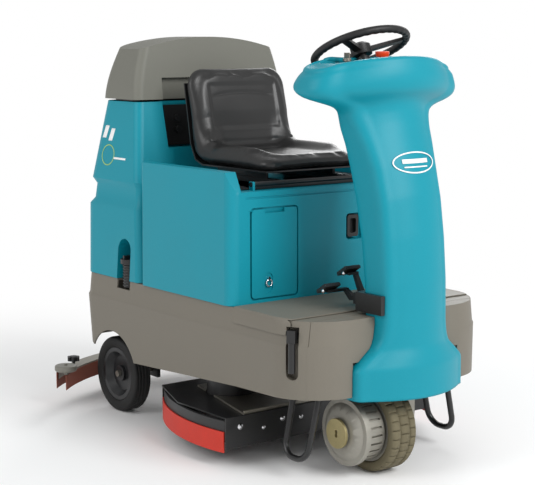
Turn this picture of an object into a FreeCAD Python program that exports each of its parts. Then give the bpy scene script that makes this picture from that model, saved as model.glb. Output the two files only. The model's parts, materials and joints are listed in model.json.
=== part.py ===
import FreeCAD, Part
import os
from math import cos, hypot, pi, radians, sin

# Ride-on floor scrubber, modelled in millimetres.
# +Z is up, the machine drives towards -Y, the operator's right hand is -X.
# Sizes are worked out from a point on the floor 14.4 mm ahead of the machine's middle;
# each piece is moved by MIDDLE_Y when it is written, so the origin is under the middle.

V = FreeCAD.Vector
PARTS = {}

# ---------------------------------------------------------------- driving dimensions
MIDDLE_Y = -14.4           # from the working origin to the written one
WALL = 5.0                 # thickness of the moulded shells
GAP = 1.5                  # clear gap between neighbouring mouldings
FIT = 0.5                  # radial clearance of turning parts
CORNER = 1 - cos(radians(45))

BODY_HALF = 360.0          # half width of the chassis
BODY_REAR = 560.0
BODY_FRONT = -652.0
SPLIT_Y = -596.5           # joint between chassis and front fenders
DECK_Z = 465.0             # top of the chassis
CREASE_Z = 392.0           # moulding line along the chassis side

LIP_Z = 424.0              # lower edge of the foot plate's side lips
STEP_TOP = DECK_Z + 4

WHEEL_R = 125.0            # rear wheels
WHEEL_W = 60.0
WHEEL_X = 270.0
WHEEL_Y = 440.0
AXLE_R = 10.0

STEER_X = -45.0            # vertical steering axis
STEER_Y = -575.0
DRIVE_R = 127.5            # drive wheel
DRIVE_W = 90.0
DRIVE_Z = 127.5

BOX_FRONT = -295.0         # seat box
BOX_REAR = 186.0
BOX_TOP = 852.0
RIM_Z = 795.0              # flat rim that the seat plate lies on

DOOR_X0 = -282.0           # small door in the seat box
DOOR_X1 = -116.0
DOOR_Z0 = 482.0
DOOR_Z1 = 742.0
LATCH_X = -221.0
DOOR_PIN_Y = BOX_FRONT + 2.5   # hinge line of the small door
DOOR_PIN_Z = DOOR_Z1 - 3

TANK_TOP = 1030.0          # recovery tank
LID_Z = 1037.0
LID_HINGE_X = 160.0
LID_HINGE_Y = 543.0
LID_HINGE_Z = 1034.0

HUB_Y = -440.0             # steering wheel
HUB_Z = 1203.0
HUB_TILT = 24.0
RIM_R = 136.0
RIM_TUBE = 11.5

PEDAL_Y = -548.0           # cross pin of both pedals
PEDAL_Z = 500.0

SEAT_HALF = 198.0
SEAT_HINGE_Y = -262.0
SEAT_HINGE_Z = 812.0

PROP_Y = -281.0            # stay that holds the seat plate up
PROP_Z = 806.0
PROP_PIN_X = 262.0           # its pin, beside the seat
PROP_END_X = 144.0           # its free end

HEAD_HALF = 396.0          # scrub head
HEAD_FRONT = -318.0
HEAD_REAR = 146.0
BRUSH_X = 190.0
BRUSH_Y = -62.0
BRUSH_R = 180.0
SKIRT_Z = 46.0

LINK_Y = 455.0             # squeegee lift link
LINK_Z = 196.0
LEVEL_Y = 690.0
LEVEL_Z = 176.0
BLADE_Z = 66.0
SQ_HALF = 440.0
SQ_TIP_Y = 560.0
SQ_MID_Y = 742.0
PORT_X = 92.0              # suction port on the squeegee
PORT_Y = 728.0
INLET_Y = 606.0            # suction inlet on the back of the tank
INLET_Z = 880.0


# ---------------------------------------------------------------- helpers
def box(x0, x1, y0, y1, z0, z1):
    """Block between two corners."""
    return Part.makeBox(x1 - x0, y1 - y0, z1 - z0, V(x0, y0, z0))


def rod(radius, start, end):
    """Round bar between two points."""
    a = V(*start)
    b = V(*end)
    return Part.makeCylinder(radius, (b - a).Length, a, b - a)


def ring(outer, inner, start, end):
    """Round tube between two points."""
    return rod(outer, start, end).cut(rod(inner, start, end))


def fuse(shapes):
    """One solid out of several touching ones."""
    first = shapes[0]
    if len(shapes) == 1:
        return first
    return first.multiFuse(shapes[1:]).removeSplitter()


def group(shapes):
    """Several separate solids in one node."""
    return Part.makeCompound(shapes)


def mirrored(shape):
    """The same shape on the other side of the machine."""
    return shape.mirror(V(0, 0, 0), V(1, 0, 0))


def both(shape):
    """A shape and its mirror image as separate solids."""
    return [shape, mirrored(shape)]


def turned(shape, centre, axis, angle):
    """A copy of a shape turned about an axis."""
    copy = shape.copy()
    copy.rotate(V(*centre), V(*axis), angle)
    return copy


def side_prism(points, x0, x1):
    """Polygon given as (y, z) points, extruded across the machine."""
    wire = Part.makePolygon([V(x0, y, z) for y, z in points + points[:1]])
    return Part.Face(wire).extrude(V(x1 - x0, 0, 0))


def plan_prism(points, z0, z1):
    """Polygon given as (x, y) points, extruded upwards."""
    wire = Part.makePolygon([V(x, y, z0) for x, y in points + points[:1]])
    return Part.Face(wire).extrude(V(0, 0, z1 - z0))


def edge_arc(start, middle, end):
    return Part.Arc(V(*start), V(*middle), V(*end)).toShape()


def section(z, half, front, rear, crown, r_front, r_rear):
    """Outline at one height: crowned front and back, straight sides, four round corners."""
    f = half - r_front
    b = half - r_rear
    fk = CORNER * r_front
    bk = CORNER * r_rear
    edges = [
        edge_arc((-f, front, z), (0, front - crown, z), (f, front, z)),
        edge_arc((f, front, z), (half - fk, front + fk, z), (half, front + r_front, z)),
        Part.makeLine(V(half, front + r_front, z), V(half, rear - r_rear, z)),
        edge_arc((half, rear - r_rear, z), (half - bk, rear - bk, z), (b, rear, z)),
        edge_arc((b, rear, z), (0, rear + 0.3 * crown, z), (-b, rear, z)),
        edge_arc((-b, rear, z), (-half + bk, rear - bk, z), (-half, rear - r_rear, z)),
        Part.makeLine(V(-half, rear - r_rear, z), V(-half, front + r_front, z)),
        edge_arc((-half, front + r_front, z), (-half + fk, front + fk, z), (-f, front, z)),
    ]
    return Part.Wire(edges)


def loft(rows, grow=0.0, ruled=False):
    """Solid through outlines; grow moves every wall outwards by that much."""
    wires = []
    for z, half, front, rear, crown, r_front, r_rear in rows:
        wires.append(section(z, half + grow, front - grow, rear + grow, crown,
                             r_front + grow, r_rear + grow))
    return Part.makeLoft(wires, True, ruled)


def moved_rows(rows, first_z=None, last_z=None):
    """The same outlines with another lowest and highest height."""
    new = [list(row) for row in rows]
    if first_z is not None:
        new[0][0] = first_z
    if last_z is not None:
        new[-1][0] = last_z
    return new


def bent_bar(points, radius, bend):
    """Round bar along straight runs joined by arcs of one bend radius."""
    corners = [V(*p) for p in points]
    edges = []
    start = corners[0]
    for before, here, after in zip(corners, corners[1:], corners[2:]):
        u = (before - here).normalize()
        w = (after - here).normalize()
        half_angle = u.getAngle(w) / 2
        setback = bend / max(sin(half_angle) / cos(half_angle), 1e-6)
        a = here + u * setback
        b = here + w * setback
        middle_way = (u + w).normalize()
        centre = here + middle_way * (bend / sin(half_angle))
        m = centre - middle_way * bend
        edges.append(Part.makeLine(start, a))
        edges.append(Part.Arc(a, m, b).toShape())
        start = b
    edges.append(Part.makeLine(start, corners[-1]))
    path = Part.Wire(edges)
    direction = corners[1] - corners[0]
    profile = Part.Wire([Part.makeCircle(radius, corners[0], direction)])
    return path.makePipeShell([profile], True, True)


def save(name, shape):
    PARTS[name] = shape


# ---------------------------------------------------------------- outlines of the mouldings
# height, half width, front, rear, crown of the front, front radius, rear radius
CHASSIS_ROWS = [
    (150, 354, BODY_FRONT, BODY_REAR - 22, 2, 160, 70),
    (CREASE_Z, BODY_HALF, BODY_FRONT, BODY_REAR, 2, 163, 74),
    (CREASE_Z + 8, 356, BODY_FRONT + 3, BODY_REAR - 2, 2, 160, 74),
    (DECK_Z, 350, BODY_FRONT + 6, BODY_REAR - 6, 2, 158, 70),
]
COVER_ROWS = [
    (238, 200, -685, -612, 62, 25, 15),
    (325, 200, -684, -612, 60, 25, 15),
    (352, 172, -688, -606, 50, 28, 15),
    (378, 140, -695, -604, 36, 30, 15),
    (405, 124, -702, -602, 27, 28, 18),
    (445, 117, -705, -597, 22, 28, 20),
    (560, 116, -704, -589, 20, 28, 20),
    (680, 116, -694, -573, 20, 28, 20),
    (790, 116, -678, -549, 18, 28, 20),
    (880, 118, -654, -524, 18, 28, 20),
    (945, 127, -630, -511, 20, 30, 22),
    (990, 136, -610, -497, 26, 34, 26),
    (1020, 146, -598, -496, 34, 38, 32),
    (1040, 154, -594, -494, 42, 42, 40),
    (1056, 181, -592, -503, 54, 44, 42),
    (1066, 222, -592, -510, 66, 42, 38),
    (1074, 246, -592, -480, 72, 54, 52),
    (1082, 262, -592, -452, 76, 58, 58),
    (1100, 272, -592, -430, 80, 62, 60),
    (1118, 267, -592, -426, 80, 62, 60),
    (1140, 260, -590, -440, 78, 62, 60),
    (1160, 234, -586, -446, 76, 60, 56),
    (1190, 206, -580, -446, 72, 56, 52),
]
CONSOLE_ARCH = 800.0       # radius of the slightly domed console top
CONSOLE_TOP = 1184.0
BOX_ROWS = [
    (466.5, 358, BOX_FRONT, BOX_REAR, 2, 34, 16),
    (BOX_TOP, 356, BOX_FRONT + 2, BOX_REAR - 2, 2, 34, 16),
]
TANK_ROWS = [
    (466.5, 353, 204, 556, 2, 26, 70),
    (692, 338, 230, 574, 2, 26, 70),
    (712, 325, 242, 556, 2, 22, 62),
    (758, 321, 248, 550, 2, 22, 62),
    (778, 330, 244, 566, 2, 26, 66),
    (TANK_TOP, 288, 304, 526, 2, 26, 60),
]
LID_ROWS = [
    (LID_Z, 295, 298, 534, 2, 28, 60),
    (1120, 284, 306, 518, 2, 28, 60),
    (1190, 264, 313, 496, 2, 28, 58),
    (1260, 240, 322, 470, 2, 28, 54),
]
LID_ARCH = 910.0
LID_TOP = 1236.0


def arch(radius, top, y0, y1):
    """Long cylinder whose crest line runs fore and aft at the given height."""
    return rod(radius, (0, y0, top - radius), (0, y1, top - radius))


# ---------------------------------------------------------------- chassis and frame
def chassis_bottom():
    """Everything below the lower edge of the chassis, with the rear wheel arch."""
    arch_edge = Part.Arc(V(-400, 240, 205), V(-400, 370, 290), V(-400, 484, 226)).toShape()
    lines = [(484, 226), (560, 252), (700, 268), (700, 100), (-800, 100), (-800, 252),
             (-320, 238), (240, 205)]
    points = [V(-400, y, z) for y, z in lines]
    edges = [arch_edge] + [Part.makeLine(a, b) for a, b in zip(points, points[1:])]
    return Part.Face(Part.Wire(edges)).extrude(V(800, 0, 0))


def hose_pocket():
    """Upright pocket in the right side for the drain hose."""
    y0 = 262.0
    y1 = 338.0
    middle = (y0 + y1) / 2
    pocket = box(-420, -296, y0, y1, 436, 560)
    return pocket.fuse(rod((y1 - y0) / 2, (-420, middle, 560), (-296, middle, 560)))


def level_pocket():
    """Slim upright pocket in the right front corner for the level hose."""
    slot = box(-40, 26, -19, 19, 318, 448)
    slot = slot.fuse(rod(19, (-40, 0, 318), (26, 0, 318)))
    slot.rotate(V(0, 0, 0), V(0, 0, 1), 28)
    slot.translate(V(-338, -558, 0))
    return slot


def chassis_parts():
    outer = loft(CHASSIS_ROWS, ruled=True)
    inner = loft(moved_rows(CHASSIS_ROWS, last_z=DECK_Z - WALL), grow=-WALL, ruled=True)
    cover_seat = loft(COVER_ROWS[:8], grow=GAP, ruled=True)
    lower = chassis_bottom()
    level = level_pocket()
    level_lining = loft_pocket_lining(level)
    shell = outer.cut(inner)
    shell = fuse([shell, level_lining.common(outer)])
    shell = shell.cut(lower).cut(cover_seat).cut(level)
    shell = shell.cut(box(-200, 200, -800, -600, 100, 345))
    shell = shell.cut(hose_pocket())
    shell = shell.cut(box(-300, 300, -280, 160, 440, 500))
    shell = shell.cut(rod(30, (0, -560, 400), (0, -560, 500)))
    lip = deck_lip(GAP)
    shell = shell.cut(lip)
    split = box(-400, 400, -800, SPLIT_Y, 0, 600)
    groove = box(-400, 400, SPLIT_Y - 1.5, SPLIT_Y, 396, 600)
    front = shell.common(split)
    rear = shell.cut(split).cut(groove)
    save("chassis_shell", rear)
    save("front_fenders", front.cut(groove))
    save("deck_plate", deck_plate())


def loft_pocket_lining(pocket):
    """Thin wall round the level hose pocket."""
    lining = box(-34, 32, -25, 25, 312, 454)
    lining = lining.fuse(rod(25, (-34, 0, 318), (32, 0, 318)))
    lining.rotate(V(0, 0, 0), V(0, 0, 1), 28)
    lining.translate(V(-338, -558, 0))
    return lining.cut(pocket)


def deck_lip(clear):
    """Space taken by the side lips and the sheet of the foot plate."""
    y0 = BOX_FRONT - 258 - clear
    y1 = BOX_FRONT - 3
    side = box(340 - clear, 380, y0, y1, LIP_Z - clear, 500)
    sheet = box(-380, 380, y0, y1, DECK_Z - 2, 500)
    return fuse([side, mirrored(side), sheet])


def deck_plate():
    """Foot plate between seat box and column with a lip down each side."""
    rows = [
        (LIP_Z, 360, BODY_FRONT, BODY_REAR, 2, 163, 74),
        (STEP_TOP - 8, 354, BODY_FRONT + 4, BODY_REAR - 4, 2, 160, 74),
        (STEP_TOP, 347, BODY_FRONT + 10, BODY_REAR - 10, 2, 156, 70),
    ]
    solid = loft(rows, ruled=True)
    hollow = box(-341, 341, -700, 600, LIP_Z - 10, DECK_Z + 0.5)
    plate = solid.cut(hollow)
    keep = box(-380, 380, BOX_FRONT - 258, BOX_FRONT - 4.5, 400, 500)
    plate = plate.common(keep)
    plate = plate.cut(loft(COVER_ROWS[4:8], grow=GAP, ruled=True))
    return plate.cut(level_pocket())


def frame_parts():
    """Welded ladder frame under the shell, battery tray and axle hangers."""
    rails = both(box(266, 290, -440, 240, 246, 280))
    horns = both(box(226, 250, -575, -410, 262, 286))
    crosses = [box(-290, 290, y - 15, y + 15, 246, 276) for y in (-419, 225)]
    tray = box(-266, 266, -290, 180, 246, 250)
    tails = both(box(150, 180, 225, 500, 246, 276))
    hangers = both(box(150, 162, WHEEL_Y - 40, WHEEL_Y + 40, 100, 246))
    tail_cross = box(-150, 150, 470, 500, 250, 276)
    nose = fuse([box(-188, 188, -585, -410, 352, 360), box(-115, 60, -624, -585, 352, 360)])
    posts = both(box(172, 188, -440, -410, 276, 352))
    frame = fuse(rails + horns + crosses + [tray, tail_cross, nose] + tails + hangers + posts)
    bore = rod(AXLE_R, (-200, WHEEL_Y, WHEEL_R), (200, WHEEL_Y, WHEEL_R))
    bearing_seat = rod(40, (STEER_X, STEER_Y, 340), (STEER_X, STEER_Y, 370))
    link_lug = box(-40, 40, LINK_Y - 16, LINK_Y + 26, LINK_Z - 16, 250)
    link_slot = box(-26, 26, LINK_Y - 30, LINK_Y + 40, LINK_Z - 30, LINK_Z + 22)
    lug_arm = box(-40, 40, LINK_Y - 16, 500, 250, 276)
    frame = fuse([frame, link_lug.cut(link_slot), lug_arm])
    frame = frame.cut(bore).cut(bearing_seat)
    link_pin = rod(8, (-44, LINK_Y, LINK_Z), (44, LINK_Y, LINK_Z))
    save("steel_frame", fuse([frame, link_pin]))
    axle = rod(AXLE_R, (-WHEEL_X - 26, WHEEL_Y, WHEEL_R), (WHEEL_X + 26, WHEEL_Y, WHEEL_R))
    save("rear_axle", axle)
    save("guard_loops", group(both(guard_loop())))


def guard_loop():
    """U-shaped round bar that hangs from the chassis beside the drive wheel."""
    points = [(-238, -560, 262), (-286, -556, 56), (-286, -452, 56), (-238, -448, 262)]
    return bent_bar(points, 9.0, 44.0)


def battery_parts():
    blocks = []
    for x in (-130, 130):
        for y in (-186, 0):
            case = box(x - 124, x + 124, y - 88, y + 88, 250.5, 500)
            lid = box(x - 118, x + 118, y - 82, y + 82, 500, 512)
            posts = [rod(9, (x + s, y, 512), (x + s, y, 528)) for s in (-90, 90)]
            blocks.append(fuse([case, lid] + posts))
    save("batteries", group(blocks))


# ---------------------------------------------------------------- seat box and tank
def rounded_panel(x0, x1, z0, z1, y0, y1, radius):
    """Upright rectangular panel with round corners."""
    panel = box(x0, x1, y0, y1, z0, z1)
    upright = [e for e in panel.Edges if abs(e.tangentAt(e.FirstParameter).y) > 0.9]
    return panel.makeFillet(radius, upright)


def seat_box_parts():
    outer = loft(BOX_ROWS, ruled=True)
    well = box(-318, 318, BOX_FRONT - 20, BOX_REAR + 20, RIM_Z, BOX_TOP + 20)
    nose = side_prism([(BOX_FRONT - 20, RIM_Z), (BOX_FRONT + 1, RIM_Z),
                       (BOX_FRONT + 30, BOX_TOP + 1), (BOX_FRONT - 20, BOX_TOP + 1)], -400, 400)
    step = box(-300, 300, BOX_FRONT - 20, BOX_FRONT + 4, RIM_Z - 22, RIM_Z - 16)
    inner = loft(moved_rows(BOX_ROWS, first_z=460, last_z=RIM_Z - WALL), grow=-WALL, ruled=True)
    hatch = box(-270, 270, -236, 140, RIM_Z - 20, RIM_Z + 10)
    recess = rounded_panel(DOOR_X0 - 5, DOOR_X1 + 5, DOOR_Z0 - 5, DOOR_Z1 + 5,
                           BOX_FRONT - 20, BOX_FRONT + 8, 14)
    opening = rounded_panel(DOOR_X0 + 16, DOOR_X1 - 16, DOOR_Z0 + 16, DOOR_Z1 - 16,
                            BOX_FRONT - 20, BOX_FRONT + 60, 10)
    lining = rounded_panel(DOOR_X0 - 11, DOOR_X1 + 11, DOOR_Z0 - 11, DOOR_Z1 + 11,
                           BOX_FRONT + 4, BOX_FRONT + 14, 18)
    socket_lining = rounded_panel(68, 166, 620, 712, BOX_FRONT + 4, BOX_FRONT + 40, 14)
    socket_pocket = rounded_panel(74, 160, 626, 706, BOX_FRONT - 20, BOX_FRONT + 34, 12)
    shell = outer.cut(inner)
    shell = fuse([shell, lining, socket_lining])
    hinge_lugs = both(box(252, 260, SEAT_HINGE_Y - 9, SEAT_HINGE_Y + 9, RIM_Z - 2, SEAT_HINGE_Z + 8))
    prop_lug = fuse([box(PROP_PIN_X - 10, PROP_PIN_X + 10, PROP_Y + 8, PROP_Y + 12,
                         RIM_Z - 2, PROP_Z + 8),
                     rod(3, (PROP_PIN_X, PROP_Y - 8, PROP_Z),
                         (PROP_PIN_X, PROP_Y + 10, PROP_Z))])
    shell = shell.cut(well).cut(nose).cut(step).cut(hatch)
    door_bore = rod(2, (DOOR_X0 - 9, DOOR_PIN_Y, DOOR_PIN_Z), (DOOR_X1 + 9, DOOR_PIN_Y, DOOR_PIN_Z))
    shell = shell.cut(recess).cut(opening).cut(socket_pocket).cut(door_bore)
    hinge_bore = rod(7 + FIT, (-270, SEAT_HINGE_Y, SEAT_HINGE_Z), (270, SEAT_HINGE_Y, SEAT_HINGE_Z))
    shell = fuse([shell, prop_lug] + hinge_lugs).cut(hinge_bore)
    save("seat_box", shell)
    socket = rounded_panel(88, 132, 632, 700, BOX_FRONT + 10, BOX_FRONT + 34, 8)
    slot = rounded_panel(98, 122, 644, 688, BOX_FRONT, BOX_FRONT + 24, 6)
    save("charge_socket", socket.cut(slot))


def tank_parts():
    outer = loft(TANK_ROWS, ruled=True)
    inner = loft(moved_rows(TANK_ROWS, first_z=472, last_z=TANK_TOP + 5), grow=-WALL, ruled=True)
    pocket = hose_pocket()
    lining_wall = box(-360, -290, 256, 344, 466.5, 560)
    lining_wall = lining_wall.fuse(rod(44, (-360, 300, 560), (-290, 300, 560)))
    tank = outer.cut(inner)
    tank = fuse([tank, lining_wall.common(outer)])
    panel_recess = box(-196, 196, 200, 328, 884, TANK_TOP + 10)
    backing = box(-202, 202, 302, 334, 878, TANK_TOP).common(outer)
    tank = fuse([tank, backing]).cut(pocket).cut(panel_recess)
    elbow = fuse([rod(28, (60, 530, INLET_Z + 30), (60, INLET_Y + 26, INLET_Z + 30)),
                  rod(28, (60, INLET_Y, INLET_Z), (60, INLET_Y, INLET_Z + 30))])
    elbow = elbow.cut(inner)
    bore = fuse([rod(22, (60, 500, INLET_Z + 30), (60, INLET_Y + 20, INLET_Z + 30)),
                 rod(22, (60, INLET_Y, INLET_Z - 5), (60, INLET_Y, INLET_Z + 30))])
    knuckles = []
    for x in (-LID_HINGE_X, LID_HINGE_X):
        knuckles.append(rod(7, (x - 15, LID_HINGE_Y, LID_HINGE_Z), (x + 15, LID_HINGE_Y, LID_HINGE_Z)))
        knuckles.append(rod(3, (x - 15, LID_HINGE_Y, LID_HINGE_Z), (x + 46, LID_HINGE_Y, LID_HINGE_Z)))
        knuckles.append(box(x - 15, x + 15, 522, LID_HINGE_Y, 1012, LID_HINGE_Z - 4))
    save("recovery_tank", fuse([tank, elbow] + knuckles).cut(bore))
    lid_outer = loft(LID_ROWS).common(arch(LID_ARCH, LID_TOP, 200, 600))
    lid_rows = moved_rows(LID_ROWS, first_z=LID_Z - 1)
    lid_inner = loft(lid_rows, grow=-WALL).common(arch(LID_ARCH - WALL, LID_TOP - WALL, 200, 600))
    lid = lid_outer.cut(lid_inner)
    lid_recess = box(-196, 196, 200, 328, LID_Z - 5, 1106)
    lid_backing = box(-202, 202, 300, 334, LID_Z, 1112).common(lid_outer)
    lid = fuse([lid, lid_backing]).cut(lid_recess)
    for x in (-LID_HINGE_X, LID_HINGE_X):
        eye = rod(7, (x + 16, LID_HINGE_Y, LID_HINGE_Z), (x + 44, LID_HINGE_Y, LID_HINGE_Z))
        strap = box(x + 16, x + 44, 529, LID_HINGE_Y, LID_Z, LID_Z + 4)
        pin_hole = rod(3 + FIT, (x + 10, LID_HINGE_Y, LID_HINGE_Z), (x + 50, LID_HINGE_Y, LID_HINGE_Z))
        lid = fuse([lid, eye, strap]).cut(pin_hole)
    rim = loft([(TANK_TOP + 1, 272, 340, 500, 2, 20, 52), (LID_Z + 6, 272, 340, 500, 2, 20, 52)],
               ruled=True)
    rim_hole = loft([(TANK_TOP, 262, 350, 490, 2, 14, 46), (LID_Z + 7, 262, 350, 490, 2, 14, 46)],
                    ruled=True)
    save("tank_lid", lid)
    save("lid_gasket", rim.cut(rim_hole).common(loft(TANK_ROWS[-2:], grow=0, ruled=True).fuse(
        box(-300, 300, 300, 600, TANK_TOP, LID_Z + 10))).cut(lid))


def back_panel_parts():
    """Black plate behind the seat with a hand knob on each side."""
    plate = side_prism([(300, 890), (308, 890), (326, 1018), (318, 1018)], -180, 180)
    knobs = []
    for x in (-137, 137):
        for z in (940, 975):
            y = 300 + (z - 890) * 18 / 128
            knobs.append(rod(11, (x, y - 16, z), (x, y + 3, z)))
    save("back_panel", fuse([plate] + knobs))


def hose_parts():
    """Drain hose that hangs in its pocket with the cap at its end."""
    ribs = [Part.makeTorus(21, 3.0, V(-326, 300, 448 + 9 * i), V(0, 0, 1)) for i in range(8)]
    tube = ring(21, 17, (-326, 300, 442), (-326, 300, 516))
    hose = fuse([tube] + ribs)
    cap = rod(30, (-326, 300, 517), (-326, 300, 532))
    tab = box(-350, -302, 296, 304, 532, 544)
    save("drain_hose", hose)
    save("drain_cap", fuse([cap, tab]))
    clip = box(-13, 8, -13, 13, 404, 440)
    tube = rod(10, (-6, 0, 320), (-6, 0, 404))
    for part in (clip, tube):
        part.rotate(V(0, 0, 0), V(0, 0, 1), 28)
        part.translate(V(-338, -558, 0))
    save("level_hose", fuse([clip, tube]))


# ---------------------------------------------------------------- front cover and controls
def cover_parts():
    """Front shroud, column and console as one hollow moulding, with its dash panel."""
    above = box(-400, 400, -900, -300, 1100, 1400)
    outer = loft(COVER_ROWS, ruled=True).cut(above.cut(arch(CONSOLE_ARCH, CONSOLE_TOP, -950, -250)))
    above = box(-400, 400, -900, -300, 1040, 1400)
    inner = loft(moved_rows(COVER_ROWS, first_z=230), grow=-WALL, ruled=True)
    inner = inner.cut(above.cut(arch(CONSOLE_ARCH, CONSOLE_TOP - 28, -950, -250)))
    shell = outer.cut(inner)
    dash_rows = [(1154, 178, -570, -452, 56, 42, 38), (1200, 178, -570, -452, 56, 42, 38)]
    dash_hole = loft(dash_rows, grow=GAP, ruled=True)
    shell = shell.cut(dash_hole)
    shell = shell.cut(box(-190, 190, -640, -560, 200, 363)).cut(box(-120, 70, -640, -560, 360, 384))
    shell = shell.cut(rod(9.5, (-10, -546, 1120), (-10, -546, 1200)))
    shell = shell.cut(rod(7.5, (-82, -478, 1120), (-82, -478, 1200)))
    shell = shell.cut(rod(RIM_R + 20, collar_point(25), collar_point(-60)))
    axis_foot = (0, HUB_Y - 300 * sin(radians(HUB_TILT)), HUB_Z - 300 * cos(radians(HUB_TILT)))
    shaft_hole = rod(13, axis_foot, (0, HUB_Y, HUB_Z))
    save("front_cover", shell.cut(shaft_hole))
    ledge_rows = [(1154.5, 177, -569, -453, 56, 42, 38), (1161, 177, -569, -453, 56, 42, 38)]
    panel = loft(ledge_rows, ruled=True)
    collar = rod(19, collar_point(60), collar_point(28)).cut(box(-60, 60, -560, -400, 1100, 1156))
    panel = fuse([panel, collar]).cut(shaft_hole)
    panel = panel.cut(rod(9.5, (-10, -546, 1140), (-10, -546, 1180)))
    panel = panel.cut(rod(7.5, (-82, -478, 1140), (-82, -478, 1180)))
    save("dash_panel", panel)
    stop = fuse([rod(9, (-10, -546, 1158), (-10, -546, 1180)),
                 Part.makeCone(17, 20, 9, V(-10, -546, 1180)),
                 rod(20, (-10, -546, 1189), (-10, -546, 1196))])
    save("stop_button", stop)
    key = fuse([rod(7, (-82, -478, 1156), (-82, -478, 1172)),
                rod(12, (-82, -478, 1168), (-82, -478, 1176)),
                box(-84, -80, -489, -467, 1176, 1192)])
    save("key_switch", key)


def collar_point(distance):
    """Point on the steering axis that far below the wheel hub."""
    return (0, HUB_Y - distance * sin(radians(HUB_TILT)), HUB_Z - distance * cos(radians(HUB_TILT)))


def steering_wheel_parts():
    """Tilted wheel: padded rim on three spokes, domed hub and upper shaft."""
    axis = (0, sin(radians(HUB_TILT)), cos(radians(HUB_TILT)))
    rim = Part.makeTorus(RIM_R, RIM_TUBE)
    hub = rod(30, (0, 0, -22), (0, 0, 6))
    dome = Part.makeCone(30, 20, 8, V(0, 0, 6))
    shaft = rod(12, (0, 0, -230), (0, 0, -22))
    spokes = []
    for angle in (90, 210, 330):
        spoke = side_prism([(22, -14), (RIM_R - 6, -5), (RIM_R - 6, 4), (22, -2)], -11, 11)
        spokes.append(turned(spoke, (0, 0, 0), (0, 0, 1), angle - 90))
    centre = fuse([hub, dome, shaft] + spokes).cut(rim)
    for name, shape in (("steering_rim", rim), ("steering_hub", centre)):
        shape = turned(shape, (0, 0, 0), (1, 0, 0), -HUB_TILT)
        shape.translate(V(0, HUB_Y, HUB_Z))
        save(name, shape)


def pedal(pad_x, pad_y, pad_z, arm_x):
    """Pad on a bent arm that turns on the cross pin of the bracket."""
    pad = box(-28, 28, -23, 23, -4, 4)
    ribs = [box(-28, 28, y - 2, y + 2, 4, 7) for y in (-18, -9, 0, 9, 18)]
    pad = fuse([pad] + ribs)
    pad.rotate(V(0, 0, 0), V(1, 0, 0), -32)
    pad.translate(V(pad_x, pad_y, pad_z))
    knee = (pad_y - 30, min(pad_z - 26, PEDAL_Z + 2))
    arm = side_prism([(PEDAL_Y, PEDAL_Z - 9), (knee[0] + 6, knee[1] - 12), (pad_y + 8, pad_z - 10),
                      (pad_y - 2, pad_z - 6), (knee[0] - 6, knee[1] + 3), (PEDAL_Y, PEDAL_Z + 9)],
                     arm_x - 7, arm_x + 7)
    boss = rod(11, (arm_x - 10, PEDAL_Y, PEDAL_Z), (arm_x + 10, PEDAL_Y, PEDAL_Z))
    link = box(min(arm_x, pad_x) - 6, max(arm_x, pad_x) + 6, pad_y - 8, pad_y + 8, pad_z - 13, pad_z - 5)
    whole = fuse([pad, arm, boss, link])
    return whole.cut(rod(5 + FIT, (arm_x - 20, PEDAL_Y, PEDAL_Z), (arm_x + 20, PEDAL_Y, PEDAL_Z)))


def pedal_parts():
    cheeks = [box(x - 4, x + 4, -568, PEDAL_Y + 14, PEDAL_Z - 16, PEDAL_Z + 16) for x in (-96, -52, -8)]
    web = box(-100, -4, -576, -563, 470, 518)
    foot = box(-100, -4, -605, -554.5, 470, 480)
    gussets = [box(x - 4, x + 4, -605, -563, 470, 518) for x in (-96, -8)]
    side_plate = box(-129, -100, -686, -578, 474, 528)
    pin = rod(5, (-100, PEDAL_Y, PEDAL_Z), (-4, PEDAL_Y, PEDAL_Z))
    column = loft(COVER_ROWS[5:8], grow=FIT, ruled=True)
    save("pedal_bracket", fuse(cheeks + gussets + [web, foot, pin, side_plate]).cut(column))
    save("brake_pedal", pedal(-56, -462, 566, -30))
    save("propel_pedal", pedal(-138, -470, 524, -74))


# ---------------------------------------------------------------- steering drive unit
def across(radius, x0, x1, y=STEER_Y, z=DRIVE_Z):
    """Round bar that lies across the machine, on the drive wheel's axle line."""
    return rod(radius, (x0, y, z), (x1, y, z))


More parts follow.
